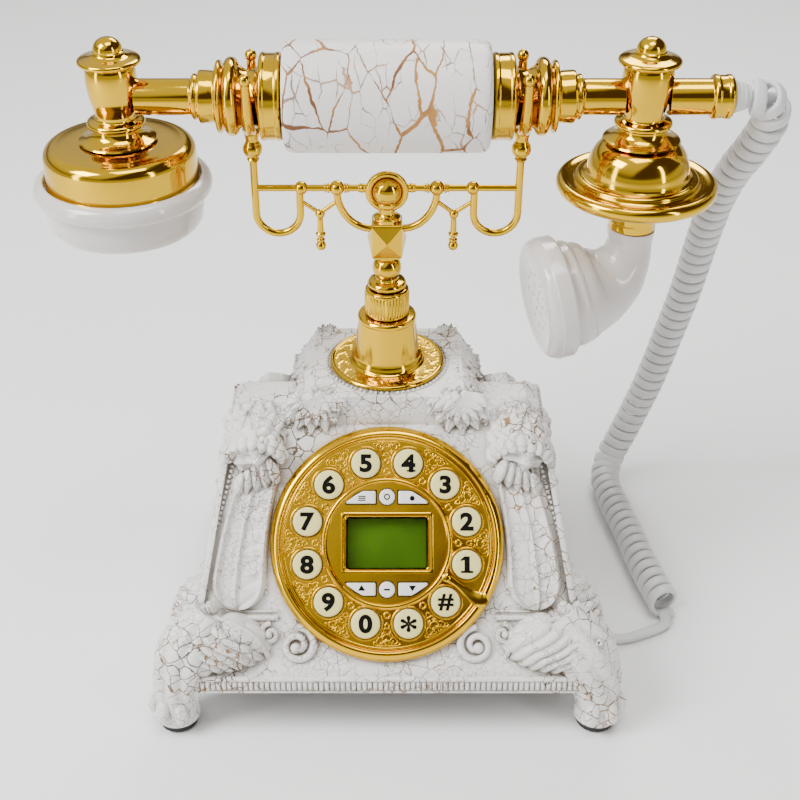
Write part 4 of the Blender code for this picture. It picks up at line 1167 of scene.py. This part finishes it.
def rounded_ends(t, start_share, end_share):
    """0 at both ends of a strip, rising to 1 along a quarter circle."""
    value = 1.0
    if t < start_share:
        value = math.sqrt(max(0.0, 1 - (1 - t / start_share) ** 2))
    if t > 1 - end_share:
        value = min(value, math.sqrt(max(0.0, 1 - ((t - 1 + end_share) / end_share) ** 2)))
    return max(value, 0.04)


def tongue_leaf(side, place):
    """Long feather leaf down a corner: raised rim, middle vein and slanting ribs."""
    path = [(side * x, s) for x, s in ((60.5, -27), (60, -18), (57.8, 2), (54, 20), (50, 38), (46, 46))]

    def width(t):
        return (12.0 - 5.4 * t) * rounded_ends(t, 0.17, 0.02)

    def height(t, v):
        edge = abs(v)
        rim = 2.3 * math.exp(-((edge - 0.84) / 0.10) ** 2)
        vein = 1.7 * math.exp(-((v + 0.1 * side) / 0.07) ** 2)
        ribs = 1.1 * abs(math.sin(30 * t - 3.4 * edge)) * (1 - edge) ** 0.4 * (0.25 + edge)
        fall = 1.0 * (1 - edge ** 8)
        return 0.2 + fall + rim + vein + ribs

    return relief(path, width, height, place, rows=120, columns=36)


def leaf_lobe(root, angle, length, width, place, lift=1.8):
    """One lobe of an acanthus leaf: swelling to a rounded, lifted tip, with a groove down its middle."""
    ahead = Vector((math.sin(angle), -math.cos(angle)))
    bend = Vector((ahead.y, -ahead.x)) * (0.12 * length * math.sin(angle))
    start = Vector(root)
    path = [start, start + ahead * length * 0.45 + bend, start + ahead * length]

    def half(t):
        swell = math.sin(math.pi * min(1.0, t * 0.75 + 0.1))
        return width * (0.45 + 0.55 * swell) * rounded_ends(t, 0.05, 0.3)

    def height(t, v):
        crown = lift * (0.45 + 0.75 * t ** 2) * (1 - 0.85 * v * v)
        return crown - 0.55 * math.exp(-(v / 0.18) ** 2) * (0.4 + t)

    return relief(path, half, height, place, rows=18, columns=12, sunk=1.0)


def acanthus(root, place, side=1, spread=70, count=7, length=14.0, width=2.5, aim=0.0, lift=1.8):
    """A fan of lobes from one root, the middle ones longest, with small second lobes between."""
    lobes = []
    for i in range(count):
        share = 2 * i / (count - 1) - 1
        angle = math.radians(aim + side * share * spread)
        reach = length * (1 - 0.32 * share * share)
        lobes.append(leaf_lobe(root, angle, reach, width, place, lift))
        if i < count - 1:
            between = angle + math.radians(side * spread / (count - 1))
            lobes.append(leaf_lobe(root, between, reach * 0.72, width * 0.8, place, lift * 1.25))
    return lobes


def c_scroll(centre, radius, turns, wire, place, flow):
    """A rod that winds in, rising a little, to a small ball."""
    points, radii = [], []
    steps = int(26 * turns)
    for i in range(steps + 1):
        t = i / steps
        a = math.pi / 2 + flow * 2 * math.pi * turns * t
        r = radius * (1 - 0.82 * t)
        points.append(place(centre[0] + r * math.cos(a), centre[1] + r * math.sin(a), 0.6 + 0.9 * t))
        radii.append(wire * (1.15 - 0.35 * t))
    return [tube(points, radii, 10), ball(points[-1], wire * 1.5, 14, 10)]


def bead_row(points, spacing, radius, place, height=0.3):
    """Small beads, evenly spaced along a line on a face."""
    line = smooth_points(points, 6)
    count = max(2, int(path_length(line) / spacing))
    return [ball(place(*spot, height), radius, 10, 7) for spot in even_points(line, count)]


def strip(points, half, thick, place):
    """A plain rounded moulding along a line on a face."""
    def height(t, v):
        return thick * math.sqrt(max(0.0, 1 - 0.9 * v * v))
    return relief(points, lambda t: half, height, place, rows=24, columns=8, sunk=1.0)


def rosette(centre, size, place):
    """Six round petals about a raised seventh."""
    petals = []
    for a in circle(6):
        spot = (centre[0] + size * math.cos(a), centre[1] + size * math.sin(a))
        petals.append(ball(place(*spot, 0.9), size * 0.5, 12, 8))
    petals.append(ball(place(*centre, 1.3), size * 0.55, 12, 8))
    return petals


def medallion(place, centre, half_w, half_h):
    """Oval frame with an inner bead row and four leaf fans."""
    oval = [(math.cos(a), math.sin(a)) for a in (2 * math.pi * i / 48 for i in range(49))]

    def about(x, y, share):
        return centre[0] + half_w * x * share, centre[1] + half_h * y * share

    shapes = [strip([about(x, y, 1) for x, y in oval], 1.7, 1.9, place)]
    shapes += bead_row([about(x, y, 0.86) for x, y in oval], 2.3, 0.8, place)
    for aim, x, y in ((0, 0, -1), (180, 0, 1), (90, 1, 0), (-90, -1, 0)):
        shapes += acanthus(about(x, y, 0.98), place, 1, 58, 5, 8.5, 1.8, aim, 1.4)
    return shapes


def slope_ornament():
    """Leaves, beads, mouldings and rosettes on both slopes, scrolls on the front, a medallion behind."""
    shapes = []
    for facing in SIDES:
        place = slope(facing)
        front = facing < 0
        for side in SIDES:
            shapes.append(tongue_leaf(side, place))
            shapes.append(strip([(side * 44, -30), (side * 77, -30)], 1.3, 1.6, place))
            shapes.append(strip([(side * 44, -27.4), (side * 77, -27.4)], 0.6, 0.9, place))
            inner_edge = ((41.5, 45), (44, 30), (48.5, 10), (50, -4), (49, -20))
            outer_edge = ((60, 44), (66, 20), (73.5, -10), (76, -24))
            for edge, radius in ((inner_edge, 0.85), (outer_edge, 0.9)):
                shapes += bead_row([(side * x, s) for x, s in edge], 2.1, radius, place)
            shapes += acanthus((side * 45.5, 41), place, side, 60, 5, 7.5, 1.5, side * 15, 1.3)
            shapes += rosette((side * 45.5, 41.5), 2.0, place)
            if front:
                shapes += c_scroll((side * 36, -41), 7.4, 1.6, 1.5, place, side)
                shapes += c_scroll((side * 47, -36.5), 4.2, 1.3, 1.1, place, -side)
        if not front:
            shapes += medallion(slope(facing, 1.1), (0, -11), 24, 11.5)
    return shapes


def flank_ornament():
    """Side faces: sloping edge mouldings, a leaf fan and a scroll at the foot, and a small medallion."""
    shapes = []
    for side in SIDES:
        place = flank(side)
        for end in SIDES:
            knots = [(end * 25, 98), (end * 46, 74), (end * 64, 52), (end * 70, 44)]
            shapes.append(strip(knots, 1.5, 1.6, place))
            shapes += bead_row([(end * 21, 97), (end * 42, 73), (end * 60, 51)], 2.2, 0.85, place)
            shapes += acanthus((end * 52, 44), place, 1, 62, 5, 11, 2.2, end * 70, 1.6)
            shapes += c_scroll((end * 30, 43), 6.4, 1.5, 1.3, place, end)
        shapes.append(strip([(-66, 36.5), (66, 36.5)], 1.2, 1.5, place))
        shapes += medallion(place, (0, 68), 13, 15)
    return shapes


def block_ornament():
    """Swags at the block's front, leaves down its sides, a bead ring under the flange and edge beads."""
    shapes = []
    for side in SIDES:
        shapes += acanthus((side * 29.5, 120.5), block_front, side, 70, 7, 17.0, 3.3, side * 6, 3.6)
        shapes += acanthus((side * 21.5, 119.5), block_front, side, 40, 4, 9.0, 1.9, -side * 20, 1.8)
        knots = [(side * 41.5, 104.8), (side * 38.5, 111), (side * 34.0, 118.5)]
        shapes += bead_row(knots, 1.9, 0.9, block_front)
        for y in (2.0, 24.0):
            shapes += acanthus((y, 119.5), block_side(side), 1, 62, 7, 15.0, 2.6, 0, 2.3)
        shapes += bead_row([(-14, 105), (40, 105)], 2.2, 0.95, block_side(side), 0.5)
    shapes.append(strip([(-38, 104.6), (0, 104.6), (38, 104.6)], 0.9, 1.1, block_front))
    ring_r = 25.4
    for a in circle(72):
        spot = (ring_r * math.cos(a), COLUMN_Y + ring_r * math.sin(a), BLOCK_TOP_Z + 0.1)
        shapes.append(lump(spot, (0.8, 0.8, 1.0), 10, 7))
    for side in SIDES:
        for y, aim in ((34.0, 150), (-8.0, 30)):
            shapes += acanthus((side * 24.5, y), block_top, side, 50, 5, 8.0, 2.0, side * aim, 1.6)
    return shapes


def grooved(count, depth):
    return lambda longitude, latitude: 1 + depth * math.cos(count * longitude) * math.cos(latitude)


def shoulder_scrolls():
    """Rolled leafy scroll on each front shoulder: a ribbed roll, lobed edges and hanging leaf tips."""
    def ribs(longitude, latitude):
        return 1 + 0.05 * math.cos(9 * longitude) + 0.035 * math.cos(16 * latitude)

    shapes = []
    for side in SIDES:
        turn = turn_about("Y", side * 14)
        shapes.append(lump((side * 54.0, -15.5, 100.8), (13.4, 19.6, 11.6), 96, 60, ribs, turn))
        for k in range(9):
            a = math.radians(-78 + 19.5 * k)
            lobe = (side * (54.0 + 11.2 * math.sin(a)), -28.0 - 2.5 * math.cos(a), 98.0 + 9.0 * math.cos(a))
            turn = turn_about("Y", side * 19 * k)
            shapes.append(lump(lobe, (3.0, 4.6, 2.9), 20, 14, grooved(5, 0.09), turn))
        for k in range(7):
            a = math.radians(-50 + 22 * k)
            lobe = (side * (54.0 + 12.4 * math.sin(a)), -15.0 + 1.2 * k, 100.0 + 10.6 * math.cos(a))
            turn = turn_about("Y", side * 22 * k)
            shapes.append(lump(lobe, (2.8, 5.2, 2.2), 20, 14, grooved(6, 0.09), turn))
        for k in range(5):
            tip = (side * (46.5 + 3.4 * k), -33.0 - 0.4 * k, 95.0 - 1.6 * k)
            turn = turn_about("Y", side * 8 * (2 - k))
            shapes.append(lump(tip, (2.5, 3.0, 6.5), 22, 16, grooved(4, 0.12), turn))
    return shapes


def shell_wing(centre, radii, pivot, along):
    """A shell over a bottom corner: scalloped bands about its pivot. along 0 measures on x, 1 on y."""
    shape = lump((0, 0, 0), (1, 1, 1), 160, 110)
    for v in shape.verts:
        spot = Vector(centre) + Vector([c * r for c, r in zip(v.co, radii)])
        away = abs(spot[along] - pivot[along])
        rise = spot.z - pivot[2]
        distance = math.hypot(away, rise * 1.55)
        scallop = distance + 0.9 * abs(math.sin(7 * math.atan2(rise, away + 0.001)))
        bands = abs(math.sin(math.pi * scallop / SHELL_BAND)) ** 0.7
        fade = min(1.0, max(0.0, (distance - 9) / 8))
        net = 0.4 * (math.sin(1.9 * spot.x) * math.sin(1.9 * spot.z)) * (1 - fade)
        v.co = spot + v.co.normalized() * (1.9 * bands * fade - 0.5 + net)
    return shape


def corner_wings():
    """Shells round the four bottom corners; the front ones have a rim, small cells and a feather crest."""
    # (middle, half sizes, pivot, axis of the bands) of each shell, for the right side
    shells = (((68.8, -72.3, 38.8), (21.4, 12.6, 11.4), (88, -78, 27), X),
              ((78.8, -55.5, 38.0), (9.6, 20.4, 11.2), (84, -77, 27), Y),
              ((61.0, 66.5, 38.0), (14.0, 9.5, 9.0), (76, 76, 27), X),
              ((73.0, 55.0, 38.0), (7.5, 15.0, 9.0), (76, 76, 27), Y))
    rim = ((47.5, -77.0, 33.0), (50.5, -78.0, 42.5), (57, -76.0, 48.0), (66, -73.0, 50.5), (74, -71.0, 50.8))
    shapes = []
    for side in SIDES:
        for (x, y, z), radii, pivot, along in shells:
            shapes.append(shell_wing((side * x, y, z), radii, (side * pivot[0], *pivot[1:]), along))
        shapes += honeycomb(side)
        shapes.append(tube(smooth_points([(side * x, y, z) for x, y, z in rim], 8), 1.25, 12))
        shapes += feather_crest(side)
    return shapes


def honeycomb(side):
    """Cluster of small round cells where the shell meets the claw."""
    cells = []
    for row in range(4):
        for k in range(5 - row % 2):
            x = side * (71.5 + 3.1 * k + 1.5 * (row % 2))
            z = 46.5 - 2.7 * row
            y = -83.0 + 0.25 * abs(k - 2) - 0.35 * row + (0.9 if row == 0 else 0)
            cells.append(placed(lathe(arc(1.0, 0, 0.55, 0, 360, 8)[:-1], 12), x, y, z, turn_about("X", 60)))
    return cells


def feather_crest(side):
    """Overlapping feathers that climb from the shell over the claw's shoulder to the body's corner."""
    feathers = []
    for t in (k / 7 for k in range(8)):
        spot = (side * (70.5 + 8 * t), -69.0 - 4.0 * t, 53.0 - 4.5 * t)
        turn = turn_about("Y", side * (10 + 25 * t))
        feathers.append(lump(spot, (2.2, 2.4, 3.8), 20, 14, grooved(5, 0.12), turn))
    for t in (k / 5 for k in range(6)):
        spot = (side * (83.5 + 2.6 * t), -72.5 - 4.0 * t, 44 - 18 * t)
        feathers.append(lump(spot, (3.2, 4.2, 4.8), 20, 14, grooved(6, 0.10)))
    return feathers


def claw_feet():
    """Four fluted legs that curve down to a ball foot with three knuckled toes."""
    front = ((70, -68, 50, 8.0), (79, -74, 37, 12.0), (84.5, -77, 24, 10.0), (86.5, -78.5, 13, 8.2),
             (86.5, -78.5, 4.3, 8.4))
    back = ((64, 62, 48, 8.0), (69, 71, 36, 10.0), (71.5, 76, 24, 9.0), (72, 78, 13, 8.0), (72, 78, 4.3, 8.2))
    toe_line = ((3.5, 15), (8.0, 10), (9.2, 5), (8.0, 2.6))      # (out from the foot's middle, up)
    shapes = []
    for side in SIDES:
        for line, flow in ((front, -1), (back, 1)):
            path = smooth_points([(side * x, y, z, r) for x, y, z, r in line], 12)
            shapes.append(tube([p.xyz for p in path], [p[3] * 1.08 for p in path], 84, claw_grooves))
            foot = path[-1].xyz
            out = Vector((side * 0.55, flow * 0.85, 0)).normalized()
            pad = foot + out * 2.4 + Vector((0, 0, 4.6))
            shapes.append(lump(pad, (7.4, 7.4, 5.0), 40, 24, grooved(6, 0.03)))
            for turn in (-52, 0, 52):
                toe = turn_about("Z", turn) @ out
                knuckle = smooth_points([foot + toe * away + Vector((0, 0, up)) for away, up in toe_line], 6)
                last = len(knuckle) - 1
                radii = [2.2 + 0.9 * math.sin(math.pi * i / last) for i in range(last + 1)]
                shapes.append(tube(knuckle, radii, 14))
    return shapes


def claw_grooves(a, t):
    twist = a + 1.2 * t
    flutes = 0.065 * math.cos(9 * twist) - 0.02 * math.cos(18 * twist)
    return 1 + flutes * math.sin(math.pi * min(1, t * 1.1)) ** 0.5


def rounded_loop(half_w, half_d, corner, count):
    """Evenly spaced (point, outward) round a rounded rectangle about the base's middle."""
    path = []
    for cx, cy, start in ((1, 1, 0), (-1, 1, 90), (-1, -1, 180), (1, -1, 270)):
        corner_arc = arc(cx * (half_w - corner), cy * (half_d - corner), corner, start, start + 90, 12)
        path += [Vector((x, y, 0)) for x, y in corner_arc]
    path.append(path[0].copy())
    loop = even_points(path, count + 1)[:-1]
    result = []
    for i, spot in enumerate(loop):
        ahead = (loop[(i + 1) % count] - loop[i - 1]).normalized()
        result.append((spot, Vector((ahead.y, -ahead.x, 0))))
    return result


def fluted_bar():
    """Rounded moulding round the bottom edge, grooved across every couple of millimetres."""
    flute, per_flute = 2.2, 8
    count = int(4 * (BODY_HALF_W + BODY_HALF_D) / flute) * per_flute
    outline = [(-0.6, 22.4), (0.6, 22.6), (1.1, 23.2), (1.1, 23.9), (0.4, 24.2), (1.2, 24.8), (1.6, 26.4),
               (1.3, 28.2), (0.4, 29.0), (1.0, 29.3), (1.0, 30.2), (0.4, 30.7), (-0.6, 30.8)]
    shape = bmesh.new()
    rings = []
    for i, (spot, out) in enumerate(rounded_loop(BODY_HALF_W, BODY_HALF_D, BAR_CORNER, count)):
        groove = 1.1 * (0.5 - 0.5 * math.cos(2 * math.pi * i / per_flute)) ** 4
        rings.append([shape.verts.new(spot + out * (away - (groove if 24.6 < z < 28.8 else 0.0))
                                      + Vector((0, 0, z))) for away, z in outline])
    for lower, upper in zip(rings, rings[1:] + rings[:1]):
        bridge(shape, lower, upper)
    return shape


def ornament():
    groups = (("slope_leaves", slope_ornament()), ("side_leaves", flank_ornament()),
              ("block_leaves", block_ornament()), ("shoulder_rolls", shoulder_scrolls()),
              ("shell_wings", corner_wings()), ("claws", claw_feet()), ("fluted_moulding", [fluted_bar()]))
    for name, shapes in groups:
        detail(name, merged(shapes), "base", smooth_angle=70)


# ---------------------------------------------------------------- handset cord

# Middle line of the coil: over the handset's end, down to the table, and forwards along it
COIL_ROUTE = ((136.6, 12, 236), (143.5, 12.6, 234), (146.0, 16, 225), (143.5, 24, 211), (140, 34, 196),
              (138, 45, 177), (137.5, 57, 152), (136, 66, 124), (133, 75, 95), (128.5, 82.5, 64),
              (121.5, 88, 34), (114.5, 87, 14), (111.5, 75, 8.2), (113, 60, 7.8), (117.5, 32, 7.8),
              (121, 7, 7.8), (126, -17, 7.8))
COIL_TOP = Vector(COIL_ROUTE[0])
COIL_FOOT = Vector(COIL_ROUTE[11])       # where the coil reaches the table
# Flat end: from the coil's end, under the base and up to the socket in the back
TAIL_ROUTE = ((126.2, -17.8, 3.4), (125, -24, 2.3), (116, -29, 2.1), (104, -33, 2.1), (90, -30, 2.1),
              (77, -18, 2.1), (67, 6, 2.1), (61, 40, 2.1), (59, 75, 2.1), (58, 98, 3.0), (56, 112, 12),
              (52, 115, 27), (47.5, 106, 40), (45, 97, 43), (45, 91.4, 43))
RIBBON_W = 5.0
RIBBON_T = 2.3
COIL_OUTER_R = 7.25
COIL_TURNS = 58
COIL_POINTS_PER_TURN = 24


def ribbon_ring(centre, out, along):
    """Section of the flat cord, with round edges: its width runs along, its thickness out."""
    ring = []
    for a in circle(16):
        w = RIBBON_W / 2 * math.copysign(abs(math.cos(a)) ** 0.55, math.cos(a))
        t = RIBBON_T / 2 * math.copysign(abs(math.sin(a)) ** 0.8, math.sin(a))
        ring.append(centre + along * w + out * t)
    return ring


def curly_cord():
    """The flat ribbon wound round the coil's route."""
    axis = even_points(smooth_points(COIL_ROUTE, 14), COIL_TURNS * COIL_POINTS_PER_TURN + 1)
    helix, rings = [], []
    for i, (centre, across, side) in enumerate(frames_along(axis)):
        a = 2 * math.pi * i / COIL_POINTS_PER_TURN
        out = across * math.cos(a) + side * math.sin(a)
        helix.append(centre + out * (COIL_OUTER_R - RIBBON_T / 2))
        rings.append(ribbon_ring(helix[-1], out, side.cross(-across).normalized()))
    coil = finish_piece("curly_cord", skin(rings), MATERIALS["cord"], "base", smooth_angle=60)
    coil.parent = None
    del coil["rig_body"]
    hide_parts("handset_cord_coil")
    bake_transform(coil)
    path_length(helix) * MM
    [tuple(p * MM) for p in helix]


def flat_cord():
    """The cord's flat end, lying on its broad side."""
    route = even_points(smooth_points(TAIL_ROUTE, 10), 110)
    rings = []
    for i, centre in enumerate(route):
        ahead = direction(route, i)
        level = ahead.cross(Vector((0, 0, 1)))
        along = level.normalized() if level.length > 0.2 else Vector((1, 0, 0))
        rings.append(ribbon_ring(centre, along.cross(ahead), along))
    tail = stand_for("flat_cord", "handset_cord_tail", skin(rings), "cord", "base", 60)
    path_length(route) * MM


# ---------------------------------------------------------------- camera, light and floor

CAMERA_DIP = 34              # degrees below level
CAMERA_BEFORE = 0.473        # metres in front of the column
CAMERA_UP = 0.4136
FLOOR_HALF = 14.0
AIM = Vector((0, 0, 0.12))   # every light points here


def in_scene(name, data):
    holder = bpy.data.objects.new(name, data)
    bpy.context.scene.collection.objects.link(holder)
    return holder


def camera():
    lens = bpy.data.cameras.new("camera")
    lens.lens, lens.sensor_width = 59.1, 36.0
    lens.shift_x, lens.shift_y = 0.01625, 0.0125
    holder = in_scene("camera", lens)
    holder.location = (0, -CAMERA_BEFORE + COLUMN_Y * MM, CAMERA_UP)
    holder.rotation_euler = (math.radians(90 - CAMERA_DIP), 0, 0)
    bpy.context.scene.camera = holder


def pale_floor():
    mesh = bpy.data.meshes.new("floor")
    corners = [(x * FLOOR_HALF, y * FLOOR_HALF, 0) for x, y in ((-1, -1), (1, -1), (1, 1), (-1, 1))]
    mesh.from_pydata(corners, [], [(0, 1, 2, 3)])
    paper = new_material("pale_floor")
    paper.set("Base Color", paper.mix(paper.noise(6.0), (0.90, 0.90, 0.90), (0.92, 0.92, 0.92)))
    paper.set("Roughness", 0.85)
    mesh.materials.append(paper.owner)
    in_scene("floor", mesh)


def lights():
    """Soft panels: (name, place, width, height, power in watts)."""
    panels = (("key_light", (-0.75, -0.35, 1.0), 0.5, 0.5, 17.0),
              ("left_strip", (-0.9, -0.5, 0.35), 0.16, 0.9, 4.0),
              ("right_strip", (0.85, -0.65, 0.5), 0.10, 0.9, 3.5),
              ("back_light", (0.25, 0.9, 1.0), 0.6, 0.4, 8.0),
              ("top_light", (0.1, -0.2, 1.5), 0.7, 0.5, 9.0))
    for name, place, wide, tall, power in panels:
        light = bpy.data.lights.new(name, "AREA")
        light.shape, light.size, light.size_y, light.energy = "RECTANGLE", wide, tall, power
        lamp = in_scene(name, light)
        lamp.location = place
        lamp.rotation_euler = (AIM - Vector(place)).to_track_quat("-Z", "Y").to_euler()


def studio_world():
    """A soft room: bright above and to the upper left, brownish to the right, pale at the horizon."""
    world = bpy.data.worlds.new("studio")
    bpy.context.scene.world = world
    n = Nodes(world, "Generated")
    height = n.node("ShaderNodeSeparateXYZ", {0: n.where}).outputs["Z"]
    bands = n.node("ShaderNodeValToRGB", {0: height})
    stops = bands.color_ramp.elements
    levels = ((0.0, 0.55), (0.05, 0.20), (0.22, 0.16), (0.36, 0.75), (0.60, 1.0), (1.0, 1.05))
    while len(stops) < len(levels):
        stops.new(0.5)
    for stop, (position, level) in zip(stops, levels):
        stop.position, stop.color = position, (level, level * 0.985, level * 0.96, 1)
    lean = n.vector("DOT_PRODUCT", {0: n.where, 1: (-0.75, 0.10, 0.65)}, "Value")
    to_left = n.ramp(lean, 0.27, 0.43, interpolation_type="SMOOTHSTEP")
    room = n.mix(to_left, (0.10, 0.066, 0.035), bands.outputs[0])
    above = n.ramp(height, 0.10, 0.22, interpolation_type="SMOOTHSTEP")
    background = n.tree.nodes["Background"]
    n.feed(background.inputs["Color"], n.mix(above, (0.72, 0.72, 0.72), room))
    n.feed(background.inputs["Strength"], 1.0)


# ---------------------------------------------------------------- everything

dress_nodes()
for make in (camera, pale_floor, lights, studio_world, curly_cord, flat_cord, handset_metal, grip, cord_bush,
             ear_cup, saucer, horn, mouth_cap, column, nut, stem, cradle, dial_plate, dial_details, key_caps,
             numerals, function_marks, finger_stop, display_mask, ornament):
    make()
